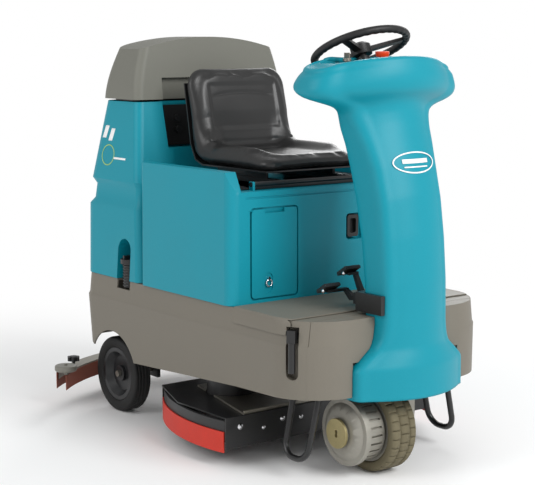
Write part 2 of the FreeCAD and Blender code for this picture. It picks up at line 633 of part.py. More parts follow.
def drive_parts():
    """Wheel motor unit hung from a yoke under the steering bearing."""
    x0 = STEER_X - DRIVE_W / 2
    x1 = STEER_X + DRIVE_W / 2
    tyre = across(DRIVE_R, x0, x1)
    tyre = tyre.makeFillet(16, [e for e in tyre.Edges if e.Curve.TypeId == "Part::GeomCircle"])
    tyre = tyre.cut(across(98, x0 - 5, x1 + 5))
    for x in (STEER_X - 15, STEER_X + 15):
        tyre = tyre.cut(across(140, x - 1.6, x + 1.6).cut(across(DRIVE_R - 4, x - 2, x + 2)))
    save("drive_tyre", tyre)
    rim = fuse([across(97.9, x0 + 6, x1 - 6), across(34, x1 - 6, x1 + 12)])
    save("drive_rim", rim.cut(across(17.7 + FIT, x0 - 5, x1 + 20)))
    motor_in = x0 - 1
    plate_in = motor_in - 56
    plate_out = plate_in - 18
    leg_in = x1 + 42
    leg_out = leg_in + 32
    crown = rod(70, (STEER_X, STEER_Y, 268), (STEER_X, STEER_Y, 282))
    shaft = rod(20, (STEER_X, STEER_Y, 282), (STEER_X, STEER_Y, 372))
    beam = box(plate_out, leg_out, STEER_Y - 26, STEER_Y + 26, 268, 280)
    leg_left = side_prism([(STEER_Y - 36, 268), (STEER_Y + 24, 268), (STEER_Y + 26, 110),
                           (STEER_Y - 14, 84), (STEER_Y - 34, 112)], leg_in, leg_out)
    leg_right = box(plate_out, plate_in, STEER_Y - 18, STEER_Y + 18, 200, 268)
    plate = across(98, plate_out, plate_in)
    yoke = fuse([crown, shaft, beam, leg_left, leg_right, plate])
    save("drive_yoke", yoke.cut(across(18, -300, 200)))
    stator = across(90, plate_in + 0.2, motor_in)
    fin_slots = []
    for i in range(24):
        slot = box(plate_in + 8, motor_in - 8, STEER_Y - 3, STEER_Y + 3, DRIVE_Z + 82, DRIVE_Z + 94)
        fin_slots.append(turned(slot, (0, STEER_Y, DRIVE_Z), (1, 0, 0), 15 * i))
    spindle = across(17.7, plate_out, leg_out - 4)
    cone = Part.makeCone(84, 60, 16, V(plate_out - 0.2, STEER_Y, DRIVE_Z), V(-1, 0, 0))
    neck = across(38, plate_out - 22, plate_out - 16)
    motor = fuse([stator.cut(group(fin_slots)), spindle])
    save("drive_motor", group([motor, fuse([cone, neck])]))
    disc = across(43, plate_out - 30, plate_out - 22.2)
    oval = fuse([across(6, -300, -150, z=DRIVE_Z - 5), across(6, -300, -150, z=DRIVE_Z + 5)])
    save("brake_plate", disc.cut(oval))
    guard = side_prism([(STEER_Y - 34, 262), (STEER_Y + 20, 262), (STEER_Y + 8, 92),
                        (STEER_Y - 12, 92)], leg_out + 0.2, leg_out + 15)
    save("cable_guard", guard)
    foot = (STEER_X, STEER_Y, 330)
    head = (STEER_X, STEER_Y, 371)
    flange = ring(60, 20 + FIT, (STEER_X, STEER_Y, 360.2), (STEER_X, STEER_Y, 366))
    save("steer_bearing", fuse([ring(39.8, 20 + FIT, foot, head), flange]))


def rear_wheel_parts():
    for side, sign in (("right", -1), ("left", 1)):
        x0 = sign * (WHEEL_X - WHEEL_W / 2)
        x1 = sign * (WHEEL_X + WHEEL_W / 2)
        tyre = rod(WHEEL_R, (x0, WHEEL_Y, WHEEL_R), (x1, WHEEL_Y, WHEEL_R))
        tyre = tyre.makeFillet(9, [e for e in tyre.Edges if e.Curve.TypeId == "Part::GeomCircle"])
        tyre = tyre.cut(rod(88, (x0 * 2, WHEEL_Y, WHEEL_R), (x0 / 2, WHEEL_Y, WHEEL_R)))
        hub = rod(87.9, (x0 + sign * 4, WHEEL_Y, WHEEL_R), (x1 - sign * 4, WHEEL_Y, WHEEL_R))
        dish = Part.makeCone(74, 58, 22, V(x1 - sign * 4, WHEEL_Y, WHEEL_R), V(-sign, 0, 0))
        boss = rod(26, (x0 + sign * 4, WHEEL_Y, WHEEL_R), (x1 - sign * 14, WHEEL_Y, WHEEL_R))
        hub = fuse([hub.cut(dish), boss])
        hub = hub.cut(rod(AXLE_R + FIT, (x0 * 2, WHEEL_Y, WHEEL_R), (x0 / 2, WHEEL_Y, WHEEL_R)))
        save("rear_tyre_" + side, tyre)
        save("rear_hub_" + side, hub)


# ---------------------------------------------------------------- scrub head
def side_band(x_grow, thickness, z0, z1):
    """Curved wall along the right-hand side of the scrub head."""
    front = (-HEAD_HALF + 2 - x_grow, HEAD_FRONT + 4)
    middle = (-HEAD_HALF - 4 - x_grow, -110)
    rear = (-HEAD_HALF + 92 - x_grow, HEAD_REAR - 4)
    outer = edge_arc((front[0], front[1], z0), (middle[0], middle[1], z0), (rear[0], rear[1], z0))
    inner = edge_arc((rear[0] + thickness, rear[1], z0), (middle[0] + thickness, middle[1], z0),
                     (front[0] + thickness, front[1], z0))
    caps = [Part.makeLine(V(rear[0], rear[1], z0), V(rear[0] + thickness, rear[1], z0)),
            Part.makeLine(V(front[0] + thickness, front[1], z0), V(front[0], front[1], z0))]
    wire = Part.Wire([outer, caps[0], inner, caps[1]])
    return Part.Face(wire).extrude(V(0, 0, z1 - z0))


def scrub_parts():
    deck = plan_prism([(-386, HEAD_FRONT), (386, HEAD_FRONT), (388, -60), (310, HEAD_REAR),
                       (-310, HEAD_REAR), (-388, -60)], 140, 145)
    front_wall = box(-396, 396, HEAD_FRONT - 4, HEAD_FRONT, 56, 150)
    rear_wall = box(-306, 306, HEAD_REAR, HEAD_REAR + 4, 70, 145)
    deck = fuse([deck, front_wall, rear_wall])
    holes = [rod(24, (x, BRUSH_Y, 130), (x, BRUSH_Y, 160)) for x in (-BRUSH_X, BRUSH_X)]
    save("scrub_deck", deck.cut(group(holes)))
    top = plan_prism([(-326, HEAD_FRONT + 2), (326, HEAD_FRONT + 2), (232, 60), (-232, 60)], 146, 152)
    lip = box(-326, 326, HEAD_FRONT + 2, HEAD_FRONT + 6, 152, 160)
    cut_outs = [rod(78, (x, BRUSH_Y, 140), (x, BRUSH_Y, 170)) for x in (-BRUSH_X, BRUSH_X)]
    save("deck_top_plate", fuse([top, lip]).cut(group(cut_outs)))
    carriers = []
    skirts = []
    for shape in both(side_band(0, 10, 76, 139)):
        carriers.append(shape)
    for shape in both(side_band(6, 5, SKIRT_Z, 108)):
        skirts.append(shape)
    save("skirt_carriers", group(carriers))
    save("side_skirts", group(skirts))
    motors = []
    for x in (-BRUSH_X, BRUSH_X):
        body = rod(74, (x, BRUSH_Y, 146), (x, BRUSH_Y, 226))
        spigot = rod(23.5, (x, BRUSH_Y, 134), (x, BRUSH_Y, 146))
        motors.append(fuse([body, spigot]))
    save("brush_motors", group(motors))
    for side, sign in (("right", -1), ("left", 1)):
        x = sign * BRUSH_X
        plate = rod(BRUSH_R - 10, (x, BRUSH_Y, 112), (x, BRUSH_Y, 124))
        drive = ring(32, 20, (x, BRUSH_Y, 124), (x, BRUSH_Y, 133))
        bristles = Part.makeCone(BRUSH_R, BRUSH_R - 14, 62, V(x, BRUSH_Y, 50))
        hollow = rod(70, (x, BRUSH_Y, 40), (x, BRUSH_Y, 112))
        save("brush_" + side, fuse([plate, drive, bristles.cut(hollow)]))
    save("lift_actuator", fuse([ring(22, 11, (0, 70, 200), (0, 70, 244)),
                                box(-30, 30, 40, 100, 236, 245.5)]).cut(rod(11, (0, 70, 190), (0, 70, 244))))
    save("lift_rod", rod(10, (0, 70, 145.2), (0, 70, 240)))


# ---------------------------------------------------------------- squeegee
def bow(offset, x):
    """Plan curve of the squeegee: a circular arc with its tips forward."""
    drop = SQ_MID_Y - SQ_TIP_Y
    radius = (SQ_HALF ** 2 + drop ** 2) / (2 * drop)
    return SQ_MID_Y - radius + (radius ** 2 - x ** 2) ** 0.5 + offset


def bow_wall(offset, thickness, half, z0, z1):
    """Upright curved strip that follows the squeegee's plan curve."""
    y_tip = bow(offset, half)
    y_mid = bow(offset, 0)
    front = edge_arc((-half, y_tip, z0), (0, y_mid, z0), (half, y_tip, z0))
    rear = edge_arc((half, y_tip + thickness, z0), (0, y_mid + thickness, z0),
                    (-half, y_tip + thickness, z0))
    right = Part.makeLine(V(half, y_tip, z0), V(half, y_tip + thickness, z0))
    left = Part.makeLine(V(-half, y_tip + thickness, z0), V(-half, y_tip, z0))
    wire = Part.Wire([front, right, rear, left])
    return Part.Face(wire).extrude(V(0, 0, z1 - z0))


def squeegee_parts():
    arm_mid = box(-24, 24, LINK_Y + 14, LEVEL_Y - 14, 170, 186)
    tail = both(box(26, 38, LEVEL_Y - 26, LEVEL_Y + 14, LEVEL_Z - 12, LEVEL_Z + 10))
    cross = box(-38, 38, LEVEL_Y - 40, LEVEL_Y - 26, 168, 186)
    head = fuse([rod(14, (-24, LINK_Y, LINK_Z), (24, LINK_Y, LINK_Z)),
                 side_prism([(LINK_Y, LINK_Z + 12), (LINK_Y, LINK_Z - 14), (LINK_Y + 40, 170),
                             (LINK_Y + 40, 186)], -24, 24)])
    arm = fuse([arm_mid.cut(box(-50, 50, LEVEL_Y - 26, 800, 0, 400)), cross, head] + tail)
    arm = arm.cut(rod(8 + FIT, (-60, LINK_Y, LINK_Z), (60, LINK_Y, LINK_Z)))
    arm = arm.cut(rod(6.3, (-60, LEVEL_Y, LEVEL_Z), (60, LEVEL_Y, LEVEL_Z)))
    save("squeegee_arm", arm)
    channel = fuse([bow_wall(-30, 60, 428, 122, 126), bow_wall(-30, 3, 428, 96, 122),
                    bow_wall(27, 3, 428, 96, 122)])
    lug = fuse([box(-24, 24, LEVEL_Y - 12, LEVEL_Y + 12, 126, LEVEL_Z),
                rod(12, (-24, LEVEL_Y, LEVEL_Z), (24, LEVEL_Y, LEVEL_Z)),
                rod(6, (-38, LEVEL_Y, LEVEL_Z), (38, LEVEL_Y, LEVEL_Z))])
    foot = box(-60, 124, LEVEL_Y - 6, SQ_MID_Y + 20, 126, 130)
    port = ring(24, 20, (PORT_X, PORT_Y, 130), (PORT_X, PORT_Y, 176))
    channel = fuse([channel, foot, lug, port])
    channel = channel.cut(rod(20, (PORT_X, PORT_Y, 110), (PORT_X, PORT_Y, 150)))
    brackets = []
    for sign in (-1, 1):
        arm_bar = box(-14, 14, -30, 24, 126, 130)
        arm_bar.translate(V(sign * (SQ_HALF - 18), SQ_TIP_Y + 12, 0))
        brackets.append(arm_bar)
    channel = fuse([channel] + brackets)
    channel = channel.cut(group([rod(5.5, (s * 424, 556, 100), (s * 424, 556, 150)) for s in (-1, 1)]))
    save("squeegee_channel", channel)
    front_blade = bow_wall(-34, 3.6, SQ_HALF, 72, 121)
    rear_blade = bow_wall(30.2, 3.6, SQ_HALF, BLADE_Z, 121)
    save("squeegee_blades", group([front_blade, rear_blade]))
    knobs = []
    for sign in (-1, 1):
        x = sign * 350
        y = bow(0, 350)
        stud = rod(5, (x, y, 126), (x, y, 140))
        star = rod(13, (x, y, 140), (x, y, 158))
        lobes = [rod(7, (x + 15 * cos(a * pi / 3), y + 15 * sin(a * pi / 3), 142),
                     (x + 15 * cos(a * pi / 3), y + 15 * sin(a * pi / 3), 156)) for a in range(6)]
        knobs.append(fuse([stud, star] + lobes))
    save("squeegee_knobs", group(knobs))
    for side, sign in (("right", -1), ("left", 1)):
        x = sign * 424
        wheel = rod(37, (x, 556, 131), (x, 556, 151))
        wheel = wheel.makeFillet(6, [e for e in wheel.Edges if e.Curve.TypeId == "Part::GeomCircle"])
        pin = rod(5, (x, 556, 118), (x, 556, 156))
        save("bumper_roller_" + side, fuse([wheel, pin]))


def vacuum_parts():
    route = [(PORT_X, PORT_Y, 176.2), (PORT_X, PORT_Y, 270), (PORT_X - 10, 690, 390),
             (PORT_X - 22, 640, 510), (60, 612, 640), (60, INLET_Y, 760), (60, INLET_Y, INLET_Z - 0.2)]
    hose = bent_hose(route)
    save("vacuum_hose", hose)
    fan = rod(72, (170, 60, 560), (170, 60, 660))
    outlet = rod(20, (170, 60, 660), (170, 60, 690))
    save("vacuum_fan", fuse([fan, outlet]))
    save("motor_controller", fuse([box(-220, -60, 60, 160, 560, 620)]
                                  + [box(-220, -60, y, y + 4, 620, 632) for y in range(66, 156, 12)]))


def bent_hose(route):
    """Suction hose along runs joined by the largest arcs that fit."""
    points = [V(*p) for p in route]
    edges = []
    start = points[0]
    for before, here, after in zip(points, points[1:], points[2:]):
        run = 0.45 * min((here - before).Length, (after - here).Length)
        u = (before - here).normalize()
        w = (after - here).normalize()
        a = here + u * run
        b = here + w * run
        half_angle = u.getAngle(w) / 2
        radius = run * sin(half_angle) / cos(half_angle)
        middle_way = (u + w).normalize()
        m = here + middle_way * (hypot(radius, run) - radius)
        print("hose radius", round(radius, 1))
        edges.append(Part.makeLine(start, a))
        edges.append(Part.Arc(a, m, b).toShape())
        start = b
    edges.append(Part.makeLine(start, points[-1]))
    path = Part.Wire(edges)
    circle = Part.Wire([Part.makeCircle(24, points[0], points[1] - points[0])])
    return path.makePipeShell([circle], True, True)


# ---------------------------------------------------------------- seat
def seat_parts():
    plate = box(-290, 290, -252, 150, RIM_Z + 0.5, RIM_Z + 5)
    hinge = rod(7, (-262, SEAT_HINGE_Y, SEAT_HINGE_Z), (262, SEAT_HINGE_Y, SEAT_HINGE_Z))
    leaf = box(-250, 250, SEAT_HINGE_Y, -240, RIM_Z + 1, SEAT_HINGE_Z + 2)
    rails = both(box(118, 142, -220, 130, RIM_Z + 5, RIM_Z + 21))
    slots = both(box(123, 137, -230, 140, RIM_Z + 9, RIM_Z + 30))
    plate = fuse([plate, leaf, hinge] + rails).cut(group(slots))
    save("seat_plate", plate)
    runners = both(box(125, 135, -168, 82, RIM_Z + 11, RIM_Z + 45))
    pan_profile = [(-232, 838), (96, 838), (136, 852), (162, 900), (196, 1090),
                   (192, 1091), (157.5, 902), (132, 856.5), (95, 843), (-232, 843)]
    pan = side_prism(pan_profile, -184, 184)
    save("seat_pan", fuse([pan] + runners))
    save("seat_cushion", seat_solid())
    base = rod(3.5, (PROP_END_X, PROP_Y, PROP_Z), (PROP_PIN_X, PROP_Y, PROP_Z))
    eye = rod(7, (PROP_PIN_X, PROP_Y - 5, PROP_Z), (PROP_PIN_X, PROP_Y + 5, PROP_Z))
    bore = rod(3 + FIT, (PROP_PIN_X, PROP_Y - 8, PROP_Z), (PROP_PIN_X, PROP_Y + 8, PROP_Z))
    save("prop_rod", fuse([base, eye]).cut(bore))


def seat_solid():
    """Bucket seat: pan, back and rolled side bolsters as one closed solid."""
    under = [(-244, 844), (92, 844), (130, 858), (155, 904)]
    core = side_prism(under + [(190, 1136), (170, 1146), (140, 1120), (120, 1005), (92, 915),
                               (40, 884), (-150, 880), (-232, 888), (-262, 868)], -168, 168)
    wing = side_prism(under + [(184, 1106), (164, 1110), (136, 1043), (92, 960), (50, 908),
                               (-82, 905), (-170, 899), (-226, 886), (-252, 866)], 168, SEAT_HALF)
    return fuse([core, wing, mirrored(wing)])


# ---------------------------------------------------------------- door
def door_parts():
    panel = rounded_panel(DOOR_X0, DOOR_X1, DOOR_Z0, DOOR_Z1, BOX_FRONT - 1, BOX_FRONT + 4, 12)
    notch = box((DOOR_X0 + DOOR_X1) / 2 - 36, (DOOR_X0 + DOOR_X1) / 2 + 36,
                BOX_FRONT - 10, BOX_FRONT + 10, DOOR_Z1 - 12, DOOR_Z1 + 10)
    x = LATCH_X
    cup = rounded_panel(x - 15, x + 15, DOOR_Z0 + 14, DOOR_Z0 + 72, BOX_FRONT - 10, BOX_FRONT + 2, 14)
    hinge = rod(1.5, (DOOR_X0 - 8, DOOR_PIN_Y, DOOR_PIN_Z), (DOOR_X1 + 8, DOOR_PIN_Y, DOOR_PIN_Z))
    panel = fuse([panel, hinge]).cut(notch).cut(cup)
    panel = panel.cut(rod(4.5, (x, BOX_FRONT - 10, DOOR_Z0 + 56), (x, BOX_FRONT + 20, DOOR_Z0 + 56)))
    save("compartment_door", panel)
    bolt = rod(4.1, (x, BOX_FRONT - 5.5, DOOR_Z0 + 56), (x, BOX_FRONT + 7.5, DOOR_Z0 + 56))
    loop = Part.makeTorus(10, 2.2, V(x, BOX_FRONT - 3.7, DOOR_Z0 + 42), V(0, 1, 0))
    save("door_latch", fuse([bolt, loop]))


# ---------------------------------------------------------------- build
chassis_parts()
frame_parts()
battery_parts()
seat_box_parts()
tank_parts()
back_panel_parts()
hose_parts()
cover_parts()
steering_wheel_parts()
pedal_parts()
drive_parts()
rear_wheel_parts()
scrub_parts()
squeegee_parts()
vacuum_parts()
seat_parts()
door_parts()

os.makedirs("parts", exist_ok=True)
for node, solid in PARTS.items():
    solid.translate(V(0, MIDDLE_Y, 0))
    solid.exportStep("parts/" + node + ".step")
    print(node, "valid" if solid.isValid() else "BROKEN", len(solid.Solids), round(solid.Volume / 1000.0), "cm3")
print(len(PARTS), "nodes")
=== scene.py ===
# %% [markdown]
# # Ride-on floor scrubber
# The machine is built in CAD as separate parts, and this file gives those parts their looks.
# The first cell loads the CAD model as a fixed frame: the bodies, slots and boxes of its parts
# are read from it, and the tyres, brushes and bolts are placed by those boxes.

# %% Load the frame
import json
import math

import bmesh
import bpy
import numpy as np
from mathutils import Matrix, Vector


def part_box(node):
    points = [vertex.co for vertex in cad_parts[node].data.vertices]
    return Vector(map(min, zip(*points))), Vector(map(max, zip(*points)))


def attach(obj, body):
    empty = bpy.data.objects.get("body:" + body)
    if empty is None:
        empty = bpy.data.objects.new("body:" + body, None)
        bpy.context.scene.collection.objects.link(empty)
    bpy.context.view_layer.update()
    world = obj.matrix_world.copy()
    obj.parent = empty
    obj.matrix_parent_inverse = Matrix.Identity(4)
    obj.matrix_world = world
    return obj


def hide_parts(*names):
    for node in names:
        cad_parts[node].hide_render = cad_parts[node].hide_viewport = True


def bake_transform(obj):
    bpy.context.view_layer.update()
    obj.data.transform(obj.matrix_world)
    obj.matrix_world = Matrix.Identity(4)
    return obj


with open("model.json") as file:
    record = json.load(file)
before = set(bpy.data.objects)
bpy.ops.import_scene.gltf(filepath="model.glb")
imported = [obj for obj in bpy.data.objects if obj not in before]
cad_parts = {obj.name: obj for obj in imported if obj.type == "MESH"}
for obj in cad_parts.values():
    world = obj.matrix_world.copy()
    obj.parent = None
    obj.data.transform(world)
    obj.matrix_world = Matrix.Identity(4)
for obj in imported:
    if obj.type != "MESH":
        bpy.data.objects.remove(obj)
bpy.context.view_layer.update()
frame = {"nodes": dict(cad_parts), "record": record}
record = frame["record"]
body_of_node = {n: b for b, members in record["behaviour"]["bodies"].items() for n in members}
slot_of_node = {s["node"]: s["material_slot"] for s in record["subparts"]}

# %% [markdown]
# ## Finishes
# A rotationally moulded tank is pigmented powder melted against a blasted steel mould, so its
# skin has a fine stipple, a slightly uneven gloss and tiny paler grains. Noise on Object
# coordinates makes all three at their real size, because Object coordinates are in metres.
# One helper builds such a finish. Pieces of steel, rubber and alloy use it with other grain.


# %% A finish with grain
def linear(colour):
    """Screen colour, 0 to 255, turned into the linear values that a shader takes."""
    c = np.array(colour, float) / 255
    return [*np.where(c <= 0.04045, c / 12.92, ((c + 0.055) / 1.055) ** 2.4), 1.0]


def finish(name, colour, roughness, *, grain=0.003, grain_tone=0.15, patch=0.12, patch_tone=0.08,
           bump=0.0002, gloss_change=0.06, metallic=0.0, specular=0.5, coat=0.0, stretch=(1, 1, 1)):
    """Base colour times (1 + fine noise + broad noise), the fine noise also lifting the surface.

    grain and patch are the sizes in metres of the fine and the broad noise; the tones say how
    far each moves the colour; bump is the height of the grain in metres.
    """
    material = bpy.data.materials.new(name)
    material.use_nodes = True
    nodes = material.node_tree.nodes
    link = material.node_tree.links.new
    shader = nodes["Principled BSDF"]
    place = nodes.new("ShaderNodeTexCoord")
    mapping = nodes.new("ShaderNodeMapping")
    mapping.inputs["Scale"].default_value = stretch
    link(place.outputs["Object"], mapping.inputs["Vector"])
    fine = nodes.new("ShaderNodeTexNoise")
    fine.inputs["Scale"].default_value = 1.0 / grain
    fine.inputs["Detail"].default_value = 3.0
    broad = nodes.new("ShaderNodeTexNoise")
    broad.inputs["Scale"].default_value = 1.0 / patch
    broad.inputs["Detail"].default_value = 4.0
    for noise in (fine, broad):
        link(mapping.outputs["Vector"], noise.inputs["Vector"])
    tone = nodes.new("ShaderNodeMath")
    tone.operation = "MULTIPLY_ADD"
    tone.inputs[1].default_value = 2 * grain_tone
    tone.inputs[2].default_value = 1.0 - grain_tone - patch_tone
    link(fine.outputs["Fac"], tone.inputs[0])
    both = nodes.new("ShaderNodeMath")
    both.operation = "MULTIPLY_ADD"
    both.inputs[1].default_value = 2 * patch_tone
    link(broad.outputs["Fac"], both.inputs[0])
    link(tone.outputs[0], both.inputs[2])
    scaled = nodes.new("ShaderNodeVectorMath")
    scaled.operation = "SCALE"
    scaled.inputs[0].default_value = linear(colour)[:3]
    link(both.outputs[0], scaled.inputs["Scale"])
    link(scaled.outputs["Vector"], shader.inputs["Base Color"])
    gloss = nodes.new("ShaderNodeMapRange")
    gloss.inputs["To Min"].default_value = max(roughness - gloss_change, 0.03)
    gloss.inputs["To Max"].default_value = min(roughness + gloss_change, 1.0)
    link(broad.outputs["Fac"], gloss.inputs["Value"])
    link(gloss.outputs["Result"], shader.inputs["Roughness"])
    relief = nodes.new("ShaderNodeBump")
    relief.inputs["Strength"].default_value = 1.0
    relief.inputs["Distance"].default_value = bump
    link(fine.outputs["Fac"], relief.inputs["Height"])
    link(relief.outputs["Normal"], shader.inputs["Normal"])
    shader.inputs["Metallic"].default_value = metallic
    shader.inputs["Specular IOR Level"].default_value = specular
    shader.inputs["Coat Weight"].default_value = coat
    return material


# %% The machine's finishes
TEAL = (0, 138, 156)
finishes = {
    "teal_moulding": finish("teal skin", TEAL, 0.46, grain=0.0022, grain_tone=0.10, specular=0.32,
                            patch=0.25, patch_tone=0.05, bump=0.00022),
    "grey_moulding": finish("grey skin", (116, 111, 101), 0.5, grain=0.0022, grain_tone=0.06,
                            specular=0.32, patch=0.2, patch_tone=0.05, bump=0.00018),
    "lid_grey": finish("lid skin", (112, 112, 104), 0.48, grain=0.0022, grain_tone=0.06,
                       specular=0.32, patch=0.25, patch_tone=0.05, bump=0.00018),
    "black_plastic": finish("black plastic", (30, 30, 31), 0.42, grain=0.0009, grain_tone=0.2,
                            bump=0.00008),
    "black_steel": finish("powder coat", (24, 24, 25), 0.38, grain=0.0016, grain_tone=0.15,
                          bump=0.00006, coat=0.1),
    "bare_steel": finish("zinc plate", (158, 154, 144), 0.38, grain=0.004, grain_tone=0.12,
                         patch=0.03, patch_tone=0.12, bump=0.00005, metallic=0.9),
    "cast_alloy": finish("cast alloy", (160, 157, 148), 0.5, grain=0.0014, grain_tone=0.10,
                         patch=0.03, patch_tone=0.10, bump=0.00022, metallic=0.75),
    "chrome_fittings": finish("chrome", (225, 225, 228), 0.09, grain=0.004, grain_tone=0.02,
                              bump=0.00002, gloss_change=0.03, metallic=1.0),
    "brake_zinc": finish("yellow zinc", (178, 166, 122), 0.4, grain=0.003, grain_tone=0.15,
                         patch=0.02, patch_tone=0.15, bump=0.00005, metallic=0.8),
    "grey_tyre": finish("olive tyre", (108, 101, 80), 0.78, grain=0.002, grain_tone=0.18,
                        patch=0.03, patch_tone=0.15, bump=0.0003, specular=0.25),
    "black_tyre": finish("black tyre", (25, 25, 25), 0.62, grain=0.002, grain_tone=0.2,
                         patch=0.05, patch_tone=0.2, bump=0.0002, specular=0.35),
    "wheel_hub": finish("wheel hub", (26, 27, 29), 0.36, grain=0.002, grain_tone=0.12,
                        bump=0.00005),
    "red_rubber": finish("red skirt", (198, 54, 40), 0.55, grain=0.004, grain_tone=0.12,
                         patch=0.05, patch_tone=0.12, bump=0.00015, specular=0.3),
    "brown_rubber": finish("squeegee rubber", (134, 66, 46), 0.55, grain=0.003, grain_tone=0.15,
                           patch=0.05, patch_tone=0.15, bump=0.0001, specular=0.3),
    "black_rubber": finish("black rubber", (22, 22, 23), 0.3, grain=0.0025, grain_tone=0.15,
                           bump=0.00006, coat=0.15),
    "squeegee_metal": finish("squeegee channel", (146, 142, 132), 0.42, grain=0.002,
                             grain_tone=0.1, bump=0.00006, metallic=0.6, stretch=(0.1, 1, 1)),
    "roller_grey": finish("roller plastic", (120, 118, 110), 0.45, grain=0.001, bump=0.00005),
    "bristles": finish("nylon bristle", (30, 32, 36), 0.5, grain=0.0015, grain_tone=0.4,
                       bump=0.0006, stretch=(1, 1, 0.06)),
    "battery_case": finish("battery case", (40, 42, 44), 0.45, grain=0.0012, bump=0.00008),
    "red_button": finish("red button", (232, 70, 30), 0.3, grain=0.003, grain_tone=0.04,
                         bump=0.00002, coat=0.3),
}
print(len(finishes), "finishes")

# %% [markdown]
# ## Parts that keep their CAD shape
# Most parts are right as they come, but a computer's edge is perfectly sharp and a real one
# never is: a moulded edge is round by a few millimetres and a sheared one by a few tenths. A
# copy of each part gets its loose triangles merged and a small bevel, which catches the light
# as the real edge does. Hidden inner parts keep the plain CAD mesh with a finish.


# %% Round the edges of a part
MERGE_DISTANCE = 2e-5
FLAT_ANGLE = math.radians(1.2)
SHARP_ANGLE = math.radians(34.0)


def eased(node, width):
    """A merged copy of a CAD node with every sharp edge rounded by width."""
    source = frame["nodes"][node]
    mesh = source.data.copy()
    shape = bmesh.new()
    shape.from_mesh(mesh)
    bmesh.ops.remove_doubles(shape, verts=shape.verts, dist=MERGE_DISTANCE)
    bmesh.ops.dissolve_limit(shape, angle_limit=FLAT_ANGLE, verts=shape.verts,
                             edges=shape.edges)
    shape.to_mesh(mesh)
    shape.free()
    piece = bpy.data.objects.new(node + "_skin", mesh)
    bpy.context.scene.collection.objects.link(piece)
    mesh.shade_smooth()
    bevel = piece.modifiers.new("Eased edges", "BEVEL")
    bevel.width = width
    bevel.segments = 2
    bevel.limit_method = "ANGLE"
    bevel.angle_limit = SHARP_ANGLE
    bevel.miter_outer = "MITER_ARC"
    shading = piece.modifiers.new("Flat faces stay flat", "WEIGHTED_NORMAL")
    shading.keep_sharp = True
    return dress(piece, node)


def dress(piece, node, moves=True):
    """Finish, slot and body of a piece that stands for a CAD node; a bending one has no body."""
    slot = slot_of_node[node]
    piece.data.materials.clear()
    piece.data.materials.append(finishes[slot])
    if moves:
        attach(piece, body_of_node[node])
    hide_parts(node)
    return piece


# %% Every part that keeps its shape
EDGE_WIDTH = {
    "chassis_shell": 0.0022, "front_fenders": 0.0022, "deck_plate": 0.0016,
    "seat_box": 0.0022, "recovery_tank": 0.0022, "tank_lid": 0.0022, "compartment_door": 0.0014,
    "dash_panel": 0.001, "steering_hub": 0.0015, "stop_button": 0.0012, "key_switch": 0.0006,
    "pedal_bracket": 0.0006, "brake_pedal": 0.0012, "propel_pedal": 0.0012,
    "charge_socket": 0.0008, "back_panel": 0.001, "drain_cap": 0.001, "level_hose": 0.001,
    "steel_frame": 0.0008, "drive_yoke": 0.0012, "drive_motor": 0.001, "brake_plate": 0.0005,
    "cable_guard": 0.001, "drive_rim": 0.001, "rear_hub_right": 0.001, "rear_hub_left": 0.001,
    "scrub_deck": 0.001, "deck_top_plate": 0.0008, "skirt_carriers": 0.001,
    "side_skirts": 0.0008, "brush_motors": 0.001, "squeegee_arm": 0.001,
    "squeegee_channel": 0.0005, "squeegee_blades": 0.0004, "squeegee_knobs": 0.0012,
    "seat_plate": 0.0005, "seat_pan": 0.0006, "steer_bearing": 0.0008, "lid_gasket": 0.0008,
}
for node, width in EDGE_WIDTH.items():
    eased(node, width)
print(len(EDGE_WIDTH), "parts with eased edges")

# %% [markdown]
# ## Surfaces worked out with numpy
# Shapes that CAD keeps plain get a better skin here. Each is a grid of points: rows along the
# shape and columns round it. One helper turns a grid into a mesh. Closing a direction joins its
# last line to its first; a cap closes an open end, so that the skin encloses a volume.


# %% Grid to mesh
def grid_mesh(name, points, *, close_rows=False, close_columns=False, caps=False, keep=None):
    """Quads between neighbours of a rows x columns x 3 array; keep is a mask of the quads."""
    rows, columns = points.shape[:2]
    r = np.arange(rows if close_rows else rows - 1)[:, None]
    c = np.arange(columns if close_columns else columns - 1)[None, :]
    r2, c2 = (r + 1) % rows, (c + 1) % columns
    quads = np.stack([r * columns + c, r * columns + c2, r2 * columns + c2, r2 * columns + c], -1)
    quads = quads[keep] if keep is not None else quads.reshape(-1, 4)
    faces = quads.tolist()
    if caps:
        faces += [list(range(columns))[::-1], list(range((rows - 1) * columns, rows * columns))]
    mesh = bpy.data.meshes.new(name)
    mesh.from_pydata(points.reshape(-1, 3).tolist(), [], faces)
    return outward(name, mesh)


def outward(name, mesh):
    """A new object whose doubled points are merged and whose faces look outwards."""
    shape = bmesh.new()
    shape.from_mesh(mesh)
    bmesh.ops.remove_doubles(shape, verts=shape.verts, dist=1e-6)
    bmesh.ops.recalc_face_normals(shape, faces=shape.faces)
    shape.to_mesh(mesh)
    shape.free()
    piece = bpy.data.objects.new(name, mesh)
    bpy.context.scene.collection.objects.link(piece)
    mesh.shade_smooth()
    return piece


def around_x(radius, across, turn, centre):
    """Points on rings about a line along X: y = cy + r sin(turn), z = cz + r cos(turn)."""
    x = np.broadcast_to(across, np.broadcast_shapes(radius.shape, turn.shape))
    return np.stack([x, centre[1] + radius * np.sin(turn), centre[2] + radius * np.cos(turn)], -1)


def middle(node):
    """Centre of a node's box."""
    low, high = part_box(node)
    return (np.array(low) + np.array(high)) / 2


def ramp(value, start, end):
    """0 before start and 1 after end, with a soft S between: t t (3 - 2 t)."""
    t = np.clip((value - start) / (end - start), 0, 1)
    return t * t * (3 - 2 * t)


